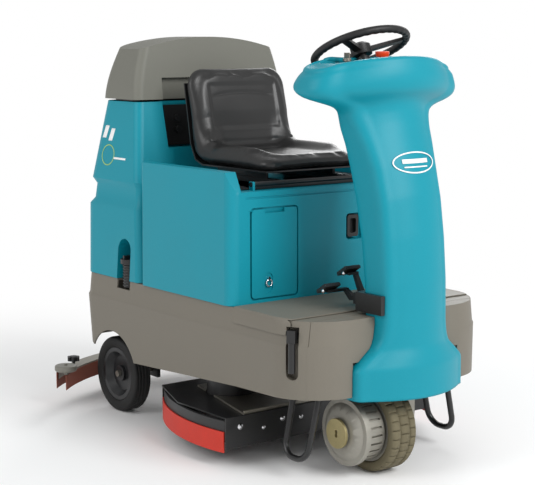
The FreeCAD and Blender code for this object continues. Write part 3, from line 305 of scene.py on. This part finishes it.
# %% [markdown]
# ## Front cover
# The shroud over the drive wheel, the column and the console are one hollow moulding. Its
# outline at each height has a crowned front, straight sides and four round corners, and the
# numbers of those outlines are the same as in CAD. Here they are run together smoothly up the
# height, the top is domed and rolled over its edge, and Solidify gives the 5 mm wall.

# %% Outlines of the cover
MIDDLE_Y = -14.4
COVER_ROWS = np.array([
    (238, 200, -685, -612, 62, 25, 15), (325, 200, -684, -612, 60, 25, 15),
    (352, 172, -688, -606, 50, 28, 15), (378, 140, -695, -604, 36, 30, 15),
    (405, 124, -702, -602, 27, 28, 18), (445, 117, -705, -597, 22, 28, 20),
    (560, 116, -704, -589, 20, 28, 20), (680, 116, -694, -573, 20, 28, 20),
    (790, 116, -678, -549, 18, 28, 20), (880, 118, -654, -524, 18, 28, 20),
    (945, 127, -630, -511, 20, 30, 22), (990, 136, -610, -497, 26, 34, 26),
    (1020, 146, -598, -496, 34, 38, 32), (1040, 154, -594, -494, 42, 42, 40),
    (1056, 181, -592, -503, 54, 44, 42), (1066, 222, -592, -510, 66, 42, 38),
    (1074, 246, -592, -480, 72, 54, 52), (1082, 262, -592, -452, 76, 58, 58),
    (1100, 272, -592, -430, 80, 62, 60), (1118, 267, -592, -426, 80, 62, 60),
    (1140, 260, -590, -440, 78, 62, 60), (1160, 234, -586, -446, 76, 60, 56),
    (1190, 206, -580, -446, 72, 56, 52)], float)
DASH_ROW = np.array([178, -570, -452, 56, 42, 38], float)


def smooth_rows(heights):
    """The outline numbers at these heights: straight between rows, then a running mean."""
    fine = np.arange(COVER_ROWS[0, 0] - 60, COVER_ROWS[-1, 0] + 60, 1.0)
    kernel = np.exp(-0.5 * (np.arange(-30, 31) / 5.0) ** 2)
    kernel /= kernel.sum()
    found = []
    for column in COVER_ROWS.T[1:]:
        line = np.interp(fine, COVER_ROWS[:, 0], column)
        soft = np.convolve(np.pad(line, 30, mode="edge"), kernel, mode="valid")
        found.append(np.interp(heights, fine, soft))
    return np.array(found)


def outline(values, grow=0.0, steps=(26, 7, 8, 7)):
    """x and y round an outline: crowned front, corner, side, corner and back, then mirrored.

    The front is front - crown (1 - t t) for t from -1 to 1, a corner is a quarter circle and the
    back bulges by 0.3 crown. values has one row per number, and any number of heights.
    """
    half, front, rear, crown, r_front, r_rear = [v[..., None] for v in values]
    half, front, rear = half + grow, front - grow, rear + grow
    r_front, r_rear = r_front + grow, r_rear + grow
    t = np.linspace(0, 1, steps[0], endpoint=False)
    a = np.linspace(0, math.pi / 2, steps[1], endpoint=False)
    s = np.linspace(0, 1, steps[2], endpoint=False)
    b = np.linspace(0, math.pi / 2, steps[3], endpoint=False)
    flat, flat_rear = half - r_front, half - r_rear
    x = [flat * t, flat + r_front * np.sin(a), half + 0 * s,
         flat_rear + r_rear * np.cos(b), flat_rear * (1 - t)]
    y = [front - crown * (1 - t * t), front + r_front * (1 - np.cos(a)),
         front + r_front + (rear - r_rear - front - r_front) * s,
         rear - r_rear + r_rear * np.sin(b), rear + 0.3 * crown * (1 - (1 - t) ** 2)]
    x, y = np.concatenate(x, -1), np.concatenate(y, -1)
    back = (0 * half, rear + 0.3 * crown)
    x = np.concatenate([x, back[0], -x[..., :0:-1]], -1)
    y = np.concatenate([y, back[1], y[..., :0:-1]], -1)
    return x, y


def evened(line):
    """Each point of a closed line moved half way to the mean of its neighbours, three times."""
    for _ in range(3):
        line = 0.5 * line + 0.25 * (np.roll(line, 1, -1) + np.roll(line, -1, -1))
    return line


# %% The cover's skin
FOOT_Z, LAST_OUTLINE_Z = 238.0, 1150.0
TOP_RADIUS, TOP_CREST, TOP_EDGE = 800.0, 1184.0, 14.0
WHEEL_Y, WHEEL_Z, WHEEL_TILT = -440.0, 1203.0, math.radians(24.0)
WHEEL_REACH, WHEEL_CLEAR = 156.0, 25.0


def top_height(x, y):
    """Height of the domed top: a circle across the machine, lowered below the steering wheel."""
    dome = TOP_CREST - TOP_RADIUS + np.sqrt(TOP_RADIUS ** 2 - x ** 2)
    under = WHEEL_Z - (y - WHEEL_Y) * math.tan(WHEEL_TILT) - WHEEL_CLEAR / math.cos(WHEEL_TILT)
    reach = ramp(np.hypot(x, y - WHEEL_Y), WHEEL_REACH, WHEEL_REACH + 60)
    return np.minimum(dome, under + 60 * reach)


def cover_points():
    """Rows up the side, over the rolled edge, in across the top and down into the opening."""
    side_x, side_y = outline(smooth_rows(np.array([1165.0])))
    crest = top_height(evened(side_x), evened(side_y)) - TOP_EDGE
    share = np.linspace(0, 1, 150)[:, None]
    z = FOOT_Z + (crest - FOOT_Z) * share
    x, y = outline(smooth_rows(FOOT_Z + (LAST_OUTLINE_Z - FOOT_Z) * share[:, 0]))
    x, y = evened(x), evened(y)
    rows = [np.stack([x, y, z], -1)]
    last = smooth_rows(np.array([LAST_OUTLINE_Z]))
    for a in np.linspace(0, math.pi / 2, 7)[1:]:
        x, y = outline(last, grow=-TOP_EDGE * (1 - math.cos(a)))
        rows.append(np.stack([evened(x), evened(y), crest + TOP_EDGE * math.sin(a)], -1))
    rim_x, rim_y = rows[-1][..., 0], rows[-1][..., 1]
    hole_x, hole_y = outline(DASH_ROW[:, None], grow=5.0)
    for s in (0.25, 0.5, 0.75, 1.0):
        x, y = rim_x + (hole_x - rim_x) * s, rim_y + (hole_y - rim_y) * s
        rows.append(np.stack([x, y, top_height(x, y)], -1))
    for grow, drop in ((2.6, 0.9), (1.9, 3.0), (1.9, 12.0), (1.9, 24.0)):
        x, y = outline(DASH_ROW[:, None], grow=grow)
        rows.append(np.stack([x, y, top_height(x, y) - drop], -1))
    points = np.concatenate(rows)
    points[..., 1] += MIDDLE_Y
    return points / 1000


points = cover_points()
mid = (points[:-1] + points[1:]) / 2
mid = (mid + np.roll(mid, -1, 1)) / 2 * 1000
FLOOR_GAP, PEDAL_GAP = (190, 363), (-120, 70, 384)
at_back = (mid[..., 1] > -640 + MIDDLE_Y) & (mid[..., 1] < -560 + MIDDLE_Y)
wide = (np.abs(mid[..., 0]) < FLOOR_GAP[0]) & (mid[..., 2] < FLOOR_GAP[1])
slim = (mid[..., 0] > PEDAL_GAP[0]) & (mid[..., 0] < PEDAL_GAP[1]) & (mid[..., 2] < PEDAL_GAP[2])
cover = grid_mesh("front_cover_shell", points, close_columns=True,
                  keep=~(at_back & (wide | slim)))
wall = cover.modifiers.new("Wall", "SOLIDIFY")
wall.thickness = 0.005
wall.offset = -1.0
dress(cover, "front_cover")
print("front cover", len(cover.data.polygons), "faces")

# %% [markdown]
# ## Seat
# The seat is foam under black vinyl, sewn as one bucket: a pan, a back and a rolled bolster down
# each side. The closed form is a thickness carried along the curved line of its underside. It is
# made a little too small, and a cloth simulation with air pressure inside swells the cover until
# it is tight, as foam does. The sewn panel of the back and its crease are pressed in afterwards,
# because the even mesh that the simulation needs can't hold a narrow seam.

# %% The seat's closed form
SEAT_LINE = np.array([(-250, 848), (-150, 846), (60, 846), (112, 856), (142, 880), (158, 925),
                      (171, 1010), (184, 1090), (187, 1142)], float)
SEAT_HALF = 192.0
END_ROUND, FRONT_CORNER, TOP_CORNER, SIDE_ROUND = 34.0, 52.0, 66.0, 26.0
BOLSTER_START, BOLSTER_END = 90.0, 150.0
CORE_SHARE = 0.45


def seat_line(count):
    """Points evenly spaced along the underside, the corners softened, and the way it faces."""
    steps = np.hypot(*np.diff(SEAT_LINE, axis=0).T)
    along = np.concatenate([[0], np.cumsum(steps)])
    fine = np.linspace(0, along[-1], 600)
    line = np.stack([np.interp(fine, along, SEAT_LINE[:, i]) for i in (0, 1)], -1)
    kernel = np.hanning(61) / np.hanning(61).sum()
    soft = [np.convolve(np.pad(c, 30, mode="reflect", reflect_type="odd"), kernel, "valid")
            for c in line.T]
    wanted = np.linspace(0, along[-1], count)
    points = np.stack([np.interp(wanted, fine, c) for c in soft], -1)
    way = np.gradient(points, axis=0)
    way /= np.linalg.norm(way, axis=1)[:, None]
    return wanted, points, np.stack([-way[:, 1], way[:, 0]], -1)


def quarter(value, radius):
    """Quarter circle from 0 at the start to 1 at the radius: sqrt(1 - (1 - v / r)^2)."""
    return np.sqrt(1 - (1 - np.clip(value / radius, 0, 1)) ** 2)


def seat_points(count=110, around=96):
    """Loops across the seat: top and underside meet in a round edge, which also rounds the ends.

    The thickness is that of the middle panel plus a bolster that rises from |x| = 90 to 150, and
    the half width shrinks in the corners like a quarter circle.
    """
    s, line, facing = seat_line(count)
    length = s[-1]
    front_end = quarter(s, END_ROUND)
    top_end = quarter(length - s, END_ROUND)
    ends = np.clip(front_end * top_end, 0.02, 1)[:, None]
    corner = FRONT_CORNER * (1 - quarter(s, FRONT_CORNER))
    corner += TOP_CORNER * (1 - quarter(length - s, TOP_CORNER))
    half = (SEAT_HALF - corner)[:, None]
    turn = np.linspace(0, 2 * math.pi, around, endpoint=False)[None, :]
    x = half * np.sin(turn)
    edge = np.sqrt(1 - np.clip((np.abs(x) - (half - SIDE_ROUND)) / SIDE_ROUND, 0, 1) ** 2)
    centre = np.interp(s, [0, 60, 300, 370, 420, 520, length], [34, 34, 32, 36, 44, 46, 36])
    bolster = np.interp(s, [0, 50, 120, 330, 380, 430, 500, length], [0, 4, 20, 24, 26, 16, 2, -4])
    top = centre[:, None] + bolster[:, None] * ramp(np.abs(x), BOLSTER_START, BOLSTER_END)
    core = CORE_SHARE * centre[:, None]
    height = np.where(np.cos(turn) >= 0, core + (top - core) * edge * ends,
                      core - core * edge * ends)
    y = line[:, :1] + facing[:, :1] * height
    z = line[:, 1:] + facing[:, 1:] * height
    return np.stack([x + 0 * y, y + MIDDLE_Y, z], -1) / 1000


def puffed(piece, voxel, pressure, cap):
    """Even mesh, 20 steps of cloth with air pressure and no gravity, moves capped, result kept."""
    remesh = piece.modifiers.new("Even mesh", "REMESH")
    remesh.mode = "VOXEL"
    remesh.voxel_size = voxel
    bake_modifiers(piece)
    start = vertices(piece)
    cloth = piece.modifiers.new("Cover", "CLOTH")
    cloth.settings.use_pressure = True
    cloth.settings.uniform_pressure_force = pressure
    cloth.settings.effector_weights.gravity = 0
    cloth.settings.tension_stiffness = 15
    cloth.settings.compression_stiffness = 15
    cloth.settings.bending_stiffness = 0.5
    scene = bpy.context.scene
    for step in range(1, 21):
        scene.frame_set(step)
    depsgraph = bpy.context.evaluated_depsgraph_get()
    moved = np.empty(len(piece.data.vertices) * 3, np.float32)
    piece.evaluated_get(depsgraph).data.vertices.foreach_get("co", moved)
    shift = moved.reshape(-1, 3) - start
    piece.modifiers.remove(cloth)
    scene.frame_set(1)
    size = np.linalg.norm(shift, axis=1)[:, None]
    put_vertices(piece, start + shift * np.minimum(1, cap / np.maximum(size, 1e-9)))
    return size.max()


def vertices(piece):
    """The corners of a mesh as rows of x, y, z."""
    found = np.empty(len(piece.data.vertices) * 3, np.float32)
    piece.data.vertices.foreach_get("co", found)
    return found.reshape(-1, 3)


def put_vertices(piece, places):
    """Moves the corners of a mesh to these places."""
    piece.data.vertices.foreach_set("co", np.asarray(places, np.float32).ravel())
    piece.data.update()


def bake_modifiers(piece):
    """The mesh as its modifiers leave it becomes the piece's own mesh."""
    depsgraph = bpy.context.evaluated_depsgraph_get()
    mesh = bpy.data.meshes.new_from_object(piece.evaluated_get(depsgraph))
    piece.modifiers.clear()
    piece.data = mesh
    mesh.shade_smooth()


# %% Swell the cushion and press in its seams
finishes["seat_vinyl"] = finish("seat vinyl", (32, 32, 32), 0.36, grain=0.0016, grain_tone=0.12,
                                patch=0.08, patch_tone=0.10, bump=0.00012, gloss_change=0.05)
cushion = grid_mesh("seat_cushion_cover", seat_points(), close_columns=True, caps=True)
print("swelled by up to", round(float(puffed(cushion, 0.0055, 4.0, 0.007)), 4), "m")
skin = vertices(cushion)
normals = np.empty(len(cushion.data.vertices) * 3, np.float32)
cushion.data.vertices.foreach_get("normal", normals)
normals = normals.reshape(-1, 3)
x, y, z = skin.T
front_of_back = (normals[:, 1] < -0.5) & (y > 0.05)
panel = ramp(0.132 - np.abs(x), 0, 0.006) * ramp(z, 0.948, 0.954) * ramp(1.092 - z, 0, 0.006)
crease_z = 1.062 - 0.012 * (x / 0.13) ** 2
crease = np.exp(-((z - crease_z) / 0.004) ** 2) * ramp(0.126 - np.abs(x), 0, 0.03)
depth = np.where(front_of_back, 0.0035 * panel + 0.003 * crease, 0)
on_pan = (normals[:, 2] > 0.5) & (y < 0.06)
gather = np.exp(-((y - 0.045) / 0.006) ** 2) * ramp(0.12 - np.abs(x), 0, 0.05)
depth = depth + np.where(on_pan, 0.003 * gather, 0)
put_vertices(cushion, skin - normals * depth[:, None])
smoother = cushion.modifiers.new("Smooth", "SUBSURF")
smoother.levels = smoother.render_levels = 1
dress(cushion, "seat_cushion")
print("cushion", len(cushion.data.polygons), "faces")

# %% [markdown]
# ## Tyres
# The drive tyre is a solid one of olive rubber with three rows of blocks, the middle row half a
# block ahead. A tyre is its cross-section carried round the axle, and the grooves are places
# where the radius is smaller. The rear tyres have four fine grooves in black rubber.


# %% Drive tyre
def tyre(name, node, across, radius, turn, groove):
    """Cross-section (across, radius) round the axle; groove lowers the radius at each turn."""
    centre = middle(node)
    radii = radius[:, None] - groove
    points = around_x(radii, across[:, None] + centre[0], turn[None, :], centre)
    piece = grid_mesh(name, points, close_rows=True, close_columns=True)
    return dress(piece, node)


def tyre_section(width, outer, inner, shoulder, tread):
    """Closed section: inner bead, side wall, round shoulder, tread places, and back again."""
    a = np.linspace(0, math.pi / 2, 7)
    half = width / 2
    right = np.concatenate([[half - 0.004, half, half], half - shoulder + shoulder * np.cos(a)])
    up = np.concatenate([[inner, inner + 0.006, outer - shoulder - 0.006],
                         outer - shoulder + shoulder * np.sin(a)])
    tread = tread[::-1]
    across = np.concatenate([right, tread, -right[::-1]])
    radius = np.concatenate([up, np.full(len(tread), outer), up[::-1]])
    return across, radius


DRIVE_RADIUS, DRIVE_WIDTH, DRIVE_LINE = 0.1275, 0.09, 0.017


def drive_tyre(blocks=30, depth=0.005, gap=0.0034):
    """Three rows of blocks: straight grooves at +-DRIVE_LINE and cross grooves every pitch."""
    lines = np.array([-DRIVE_LINE, DRIVE_LINE])
    side = np.array([-gap / 2 - 0.0006, -gap / 2, gap / 2, gap / 2 + 0.0006])
    tread = np.sort(np.concatenate([(lines[:, None] + side).ravel(), [-0.026, 0, 0.026]]))
    across, radius = tyre_section(DRIVE_WIDTH, DRIVE_RADIUS, 0.098, 0.012, tread)
    pitch = 2 * math.pi / blocks
    cut = gap / DRIVE_RADIUS / pitch
    share = np.array([0, 0.02, cut - 0.02, cut, 0.3, 0.5, 0.52, 0.5 + cut - 0.02, 0.5 + cut, 0.8])
    turn = (np.arange(blocks)[:, None] + share).ravel() * pitch
    phase = (turn / pitch)[None, :] + np.where(np.abs(across) < DRIVE_LINE, 0.5, 0)[:, None]
    part = phase % 1.0
    cross = ((part > 0.01) & (part < cut - 0.01)).astype(float)
    ring = (np.abs(np.abs(across) - DRIVE_LINE) < gap / 2 + 0.0002)[:, None]
    on_tread = (radius > DRIVE_RADIUS - 0.004)[:, None]
    return tyre("drive_tyre_tread", "drive_tyre", across, radius, turn,
                depth * np.maximum(cross, ring) * on_tread)


def rear_tyre(side):
    """Black tyre whose radius is 2.5 mm less in four narrow grooves."""
    lines = np.array([-0.018, -0.006, 0.006, 0.018])
    wall = np.array([-0.0014, -0.0009, 0.0009, 0.0014])
    tread = np.sort((lines[:, None] + wall).ravel())
    across, radius = tyre_section(0.06, 0.125, 0.088, 0.009, tread)
    turn = np.linspace(0, 2 * math.pi, 96, endpoint=False)
    deep = (np.abs(across[:, None] - lines).min(1) < 0.001)[:, None] * np.ones(96)
    node = "rear_tyre_" + side
    return tyre(node + "_tread", node, across, radius, turn, 0.0025 * deep)


drive_tyre()
rear_tyre("right")
rear_tyre("left")
print("three tyres")

# %% [markdown]
# ## Suction hose
# A grey-black corrugated hose carries dirty water from the squeegee up to the tank. It is held
# at both ends, so its length is fixed, and it hangs in one easy bow between them. Its line is a
# NURBS spline through the same route as in CAD, and the ribs are a wave of the radius along it.

# %% Corrugated hose
HOSE_ROUTE = [(92, 728, 176.2), (92, 728, 270), (82, 690, 390), (70, 640, 510), (60, 612, 640),
              (60, 606, 760), (60, 606, 879.8)]


def spline_points(route):
    """Points along a smooth NURBS line that is drawn to a route of control points."""
    curve = bpy.data.curves.new("line", "CURVE")
    curve.dimensions = "3D"
    curve.resolution_u = 40
    spline = curve.splines.new("NURBS")
    spline.points.add(len(route) - 1)
    for point, (x, y, z) in zip(spline.points, route):
        point.co = (x / 1000, (y + MIDDLE_Y) / 1000, z / 1000, 1)
    spline.order_u = 3
    spline.use_endpoint_u = True
    holder = bpy.data.objects.new("line", curve)
    bpy.context.scene.collection.objects.link(holder)
    bpy.context.view_layer.update()
    mesh = bpy.data.meshes.new_from_object(holder)
    found = np.array([v.co for v in mesh.vertices])
    bpy.data.objects.remove(holder)
    return found


def even_steps(line, step):
    """The same line with points a fixed step apart."""
    along = np.concatenate([[0], np.cumsum(np.linalg.norm(np.diff(line, axis=0), axis=1))])
    wanted = np.linspace(0, along[-1], int(along[-1] / step) + 1)
    return wanted, np.stack([np.interp(wanted, along, line[:, i]) for i in range(3)], -1)


def tube(name, line, radius, around=40):
    """Rings of the given radii round a line that never runs along X."""
    way = np.gradient(line, axis=0)
    way /= np.linalg.norm(way, axis=1)[:, None]
    side = np.array([1.0, 0, 0]) - way * way[:, :1]
    side /= np.linalg.norm(side, axis=1)[:, None]
    up = np.cross(way, side)
    turn = np.linspace(0, 2 * math.pi, around, endpoint=False)[None, :, None]
    points = line[:, None] + radius[:, None, None] * (
        side[:, None] * np.cos(turn) + up[:, None] * np.sin(turn))
    return grid_mesh(name, points, close_columns=True, caps=True)


along, hose_line = even_steps(spline_points(HOSE_ROUTE), 0.0021)
ribs = 0.0012 * np.cos(2 * math.pi * along / 0.0084)
cuff = ramp(along, 0.02, 0.035) * ramp(along[-1] - along, 0.02, 0.035)
hose = tube("suction_hose", hose_line, 0.0228 + ribs * cuff)
dress(hose, "vacuum_hose", moves=False)
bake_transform(hose)
print("hose", round(float(along[-1]), 3), "m long")

# %% [markdown]
# ## Brushes
# Two disc brushes turn under the deck. Each is a plastic block with a ring of nylon tufts that
# splay a little at the tips. The tufts are a wave of the radius that deepens towards the floor.

# %% Brush with tufts
def brush(side, tufts=90):
    """Profile of radius and height spun about Z, the tufts a cosine of the radius."""
    centre = middle("brush_" + side)
    profile = np.array([(0.070, 0.110), (0.070, 0.052), (0.120, 0.050), (0.1785, 0.050),
                        (0.1785, 0.062), (0.1755, 0.085), (0.172, 0.108), (0.172, 0.112),
                        (0.176, 0.113), (0.176, 0.121), (0.060, 0.121), (0.058, 0.133),
                        (0.0205, 0.133), (0.0205, 0.124), (0.060, 0.112)])
    turn = np.linspace(0, 2 * math.pi, tufts * 4, endpoint=False)[None, :]
    radius, z = profile[:, :1], profile[:, 1:]
    deep = 0.0022 * (radius > 0.11) * ramp(z, 0.109, 0.085)
    radius = radius - deep * (0.5 - 0.5 * np.cos(tufts * turn))
    points = np.stack([centre[0] + radius * np.cos(turn), centre[1] + radius * np.sin(turn),
                       z + 0 * turn], -1)
    piece = grid_mesh("brush_tufts_" + side, points, close_rows=True, close_columns=True)
    return dress(piece, "brush_" + side)


brush("right")
brush("left")
print("two brushes")

# %% [markdown]
# ## Steering rim
# The rim is a steel ring under soft black foam with finger grips moulded round its back. It is a
# ring whose tube is a little thinner between the fingers, tilted like the CAD wheel.

# %% Rim with finger grips
def steering_rim(grips=36, ring=0.136, tube_radius=0.0115):
    """A tilted ring whose tube is thinner by a cosine of the turn, only on its underside."""
    round_ring = np.linspace(0, 2 * math.pi, grips * 8, endpoint=False)[:, None]
    round_tube = np.linspace(0, 2 * math.pi, 24, endpoint=False)[None, :]
    below = np.clip(-np.sin(round_tube), 0, 1)
    r = tube_radius - 0.0011 * below * (0.5 - 0.5 * np.cos(grips * round_ring))
    flat = ring + r * np.cos(round_tube)
    x, v, w = flat * np.cos(round_ring), flat * np.sin(round_ring), r * np.sin(round_tube)
    y = WHEEL_Y + MIDDLE_Y + 1000 * (v * math.cos(WHEEL_TILT) + w * math.sin(WHEEL_TILT))
    z = WHEEL_Z + 1000 * (w * math.cos(WHEEL_TILT) - v * math.sin(WHEEL_TILT))
    piece = grid_mesh("steering_rim_grip", np.stack([x, y / 1000, z / 1000], -1),
                      close_rows=True, close_columns=True)
    return dress(piece, "steering_rim")


finishes["black_grip"] = finish("foam grip", (26, 26, 27), 0.5, grain=0.0012, grain_tone=0.2,
                                bump=0.00012, specular=0.4)
steering_rim().data.materials[0] = finishes["black_grip"]
print("steering rim")

# %% [markdown]
# ## Plain marks
# A real machine carries printed marks. Here they are plain shapes with no letters: a white oval
# with two bars on the column, and two slanted bars, a ring and a bar on the tank. Each is a thin
# film that follows the surface under it, with a wall of a few tenths of a millimetre.


# %% Marks on the column and the tank
def on_column(x, z):
    """Point on the column's front: front - crown (1 - (x / flat)^2), then the corner circle.

    The cover's rows are stretched up to its crest, so the outline is looked up a little lower.
    """
    stretch = (LAST_OUTLINE_Z - FOOT_Z) / (TOP_CREST - TOP_EDGE - FOOT_Z)
    half, front, _, crown, corner, _ = smooth_rows(FOOT_Z + (z - FOOT_Z) * stretch)
    flat = half - corner
    past = np.clip(np.abs(x) - flat, 0, corner)
    y = front - crown * np.clip(1 - (x / flat) ** 2, 0, 1)
    y += corner - np.sqrt(corner ** 2 - past ** 2)
    return np.stack([x, y + MIDDLE_Y - 1.1, z], -1) / 1000


def on_tank(y, z):
    """Point on the tank's right side, which leans in from 330 to 288 mm over its upper half."""
    foot, lean, low, high = 330.5, 42.0, 778.0, 1030.0
    x = -(foot - lean * (z - low) / (high - low))
    return np.stack([x, y + MIDDLE_Y, z], -1) / 1000


def ring_mark(centre, size, wide, count=72):
    """An oval band: the outer oval and the same oval made narrower by a fixed width."""
    turn = np.linspace(0, 2 * math.pi, count, endpoint=False)[:, None]
    inset = np.array([[0, wide / 2, wide]])
    return (centre[0] + (size[0] - inset) * np.cos(turn),
            centre[1] + (size[1] - inset) * np.sin(turn))


def bar_mark(centre, size, slant=0.0, count=12):
    """A rectangle of two half sizes, pushed sideways with height by the slant."""
    a, b = np.meshgrid(np.linspace(-1, 1, count), np.linspace(-1, 1, 4), indexing="ij")
    return centre[0] + size[0] * a + slant * size[1] * b, centre[1] + size[1] * b


def mark(name, place, flat, paint, closed=False):
    """A film of paint: flat is the mark's grid, place puts it on the machine's surface."""
    piece = grid_mesh(name, place(*flat), close_rows=closed)
    film = piece.modifiers.new("Film", "SOLIDIFY")
    film.thickness = 0.0006
    film.offset = 0.0
    piece.data.materials.append(finishes[paint])
    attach(piece, "machine")
    return piece


finishes["mark_white"] = finish("white film", (240, 240, 240), 0.4, grain=0.002,
                                grain_tone=0.02, bump=0.00002)
finishes["mark_green"] = finish("green film", (150, 190, 110), 0.4, grain=0.002,
                                grain_tone=0.04, bump=0.00002)
mark("column_oval", on_column, ring_mark((6, 891), (78, 30), 4.0), "mark_white", closed=True)
mark("column_bar", on_column, bar_mark((6, 895), (48, 6)), "mark_white")
mark("column_line", on_column, bar_mark((6, 879), (44, 1.8)), "mark_white")
mark("tank_bar_front", on_tank, bar_mark((432, 922), (11, 20), -0.3), "mark_white")
mark("tank_bar_rear", on_tank, bar_mark((470, 930), (11, 20), -0.3), "mark_white")
mark("tank_ring", on_tank, ring_mark((440, 856), (38, 34), 3.5), "mark_green", closed=True)
mark("tank_line", on_tank, bar_mark((368, 848), (36, 3.2)), "mark_white")
print("seven marks")

# %% [markdown]
# ## Bolts and studs
# Fasteners are bright points that the eye looks for. Each is a washer with a domed head: one
# profile spun about its axis, placed on the face that it holds.


# %% Bolts
def bolt(name, centre, axis, radius, body):
    """Washer and dome: radius and height of seven rings, turned so that the axis points out."""
    profile = np.array([(0.0, 0.62), (0.35, 0.58), (0.6, 0.42), (0.66, 0.2), (1.0, 0.2),
                        (1.0, -0.1), (0.0, -0.1)]) * radius
    profile[0, 0] = profile[-1, 0] = radius * 1e-3
    turn = np.linspace(0, 2 * math.pi, 20, endpoint=False)[None, :]
    out = np.array(axis, float)
    side = np.cross(out, [0.3, 0.5, 0.81])
    side /= np.linalg.norm(side)
    up = np.cross(out, side)
    points = np.array(centre) + profile[:, :1, None] * (
        side * np.cos(turn)[..., None] + up * np.sin(turn)[..., None]) + (
        profile[:, 1:, None] * out)
    piece = grid_mesh(name, points, close_columns=True, caps=True)
    piece.data.materials.append(finishes["chrome_fittings"])
    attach(piece, body)
    return piece


deck_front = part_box("scrub_deck")[0][1]
for number, (x, z, radius) in enumerate([(-0.345, 0.118, 0.009), (-0.26, 0.102, 0.006),
                                         (-0.19, 0.118, 0.008), (-0.12, 0.112, 0.007)]):
    bolt(f"deck_bolt_{number}", (x, deck_front, z), (0, -1, 0), radius, "scrub_head")
for name in ("brake_pedal", "propel_pedal"):
    low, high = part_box(name)
    bolt(name + "_bolt", (low[0], high[1] - 0.03, high[2] - 0.022), (-1, 0, 0), 0.006, name)
print("bolts")

# %% [markdown]
# ## Floor, light and camera
# The camera stands at the front right corner, a little above the seat. A pale floor and a big
# soft lamp in front give the calm light of a studio, and a bright world fills the shadows.

# %% Studio
def lamp(name, place, aim, size, watts):
    """A square area lamp turned from its place towards a point."""
    light = bpy.data.lights.new(name, "AREA")
    light.size = size
    light.energy = watts
    holder = bpy.data.objects.new(name, light)
    holder.location = place
    direction = np.array(aim, float) - np.array(place, float)
    holder.rotation_euler = (math.acos(-direction[2] / np.linalg.norm(direction)), 0,
                             math.atan2(-direction[0], direction[1]))
    bpy.context.scene.collection.objects.link(holder)


def fade_out(material, near, far):
    """Turns a floor to plain white light between two distances from the machine."""
    nodes, link = material.node_tree.nodes, material.node_tree.links.new
    place = nodes.new("ShaderNodeTexCoord")
    distance = nodes.new("ShaderNodeVectorMath")
    distance.operation = "LENGTH"
    link(place.outputs["Object"], distance.inputs[0])
    share = nodes.new("ShaderNodeMapRange")
    share.interpolation_type = "SMOOTHSTEP"
    share.inputs["From Min"].default_value = near
    share.inputs["From Max"].default_value = far
    link(distance.outputs["Value"], share.inputs["Value"])
    glow, mix = nodes.new("ShaderNodeEmission"), nodes.new("ShaderNodeMixShader")
    link(share.outputs["Result"], mix.inputs["Fac"])
    link(nodes["Principled BSDF"].outputs["BSDF"], mix.inputs[1])
    link(glow.outputs["Emission"], mix.inputs[2])
    link(mix.outputs["Shader"], nodes["Material Output"].inputs["Surface"])


def studio():
    """Pale floor, white world that lights less than it shows, and three soft lamps."""
    x, y = np.meshgrid(np.linspace(-30, 30, 31), np.linspace(-30, 30, 31))
    floor = grid_mesh("studio_floor", np.stack([x, y, np.full_like(x, -0.0005)], -1))
    if floor.data.polygons[0].normal.z < 0:
        floor.data.flip_normals()
    floor.data.materials.append(finish("floor", (246, 246, 246), 0.9, grain=0.01,
                                       grain_tone=0.004, patch=1.0, patch_tone=0.004, bump=0))
    fade_out(floor.data.materials[0], 1.1, 2.6)
    world = bpy.data.worlds.new("Studio world")
    bpy.context.scene.world = world
    world.use_nodes = True
    nodes, link = world.node_tree.nodes, world.node_tree.links.new
    seen, fill = nodes["Background"], nodes.new("ShaderNodeBackground")
    seen.inputs["Color"].default_value = fill.inputs["Color"].default_value = (1, 1, 1, 1)
    seen.inputs["Strength"].default_value = 1.0
    fill.inputs["Strength"].default_value = 0.62
    path, mix = nodes.new("ShaderNodeLightPath"), nodes.new("ShaderNodeMixShader")
    link(path.outputs["Is Camera Ray"], mix.inputs["Fac"])
    link(fill.outputs["Background"], mix.inputs[1])
    link(seen.outputs["Background"], mix.inputs[2])
    link(mix.outputs["Shader"], nodes["World Output"].inputs["Surface"])
    lamp("key", (0.6, -4.6, 3.4), (0, 0, 0.6), 2.4, 190)
    lamp("side", (-4.4, 0.2, 3.0), (0, 0, 0.6), 2.4, 60)
    lamp("rim", (3.4, 2.6, 2.6), (0, 0, 0.8), 2.0, 60)


def camera():
    """The view from the front right corner."""
    data = bpy.data.cameras.new("Camera")
    data.lens = 97.9
    data.sensor_width = 36.0
    holder = bpy.data.objects.new("Camera", data)
    holder.location = (-2.76, -3.6494, 1.24)
    holder.rotation_euler = (math.radians(81.9), 0, math.radians(-37.2))
    bpy.context.scene.collection.objects.link(holder)
    bpy.context.scene.camera = holder


studio()
camera()
bpy.context.scene.view_settings.view_transform = "Standard"
print("studio ready")

# %% [markdown]
# ## Parts that show only a little
# What is left keeps its CAD mesh and takes its finish.

# %% Finish for every node that is left
for node, part in frame["nodes"].items():
    if not part.hide_render:
        part.data.materials.clear()
        part.data.materials.append(finishes.get(slot_of_node[node], finishes["black_plastic"]))
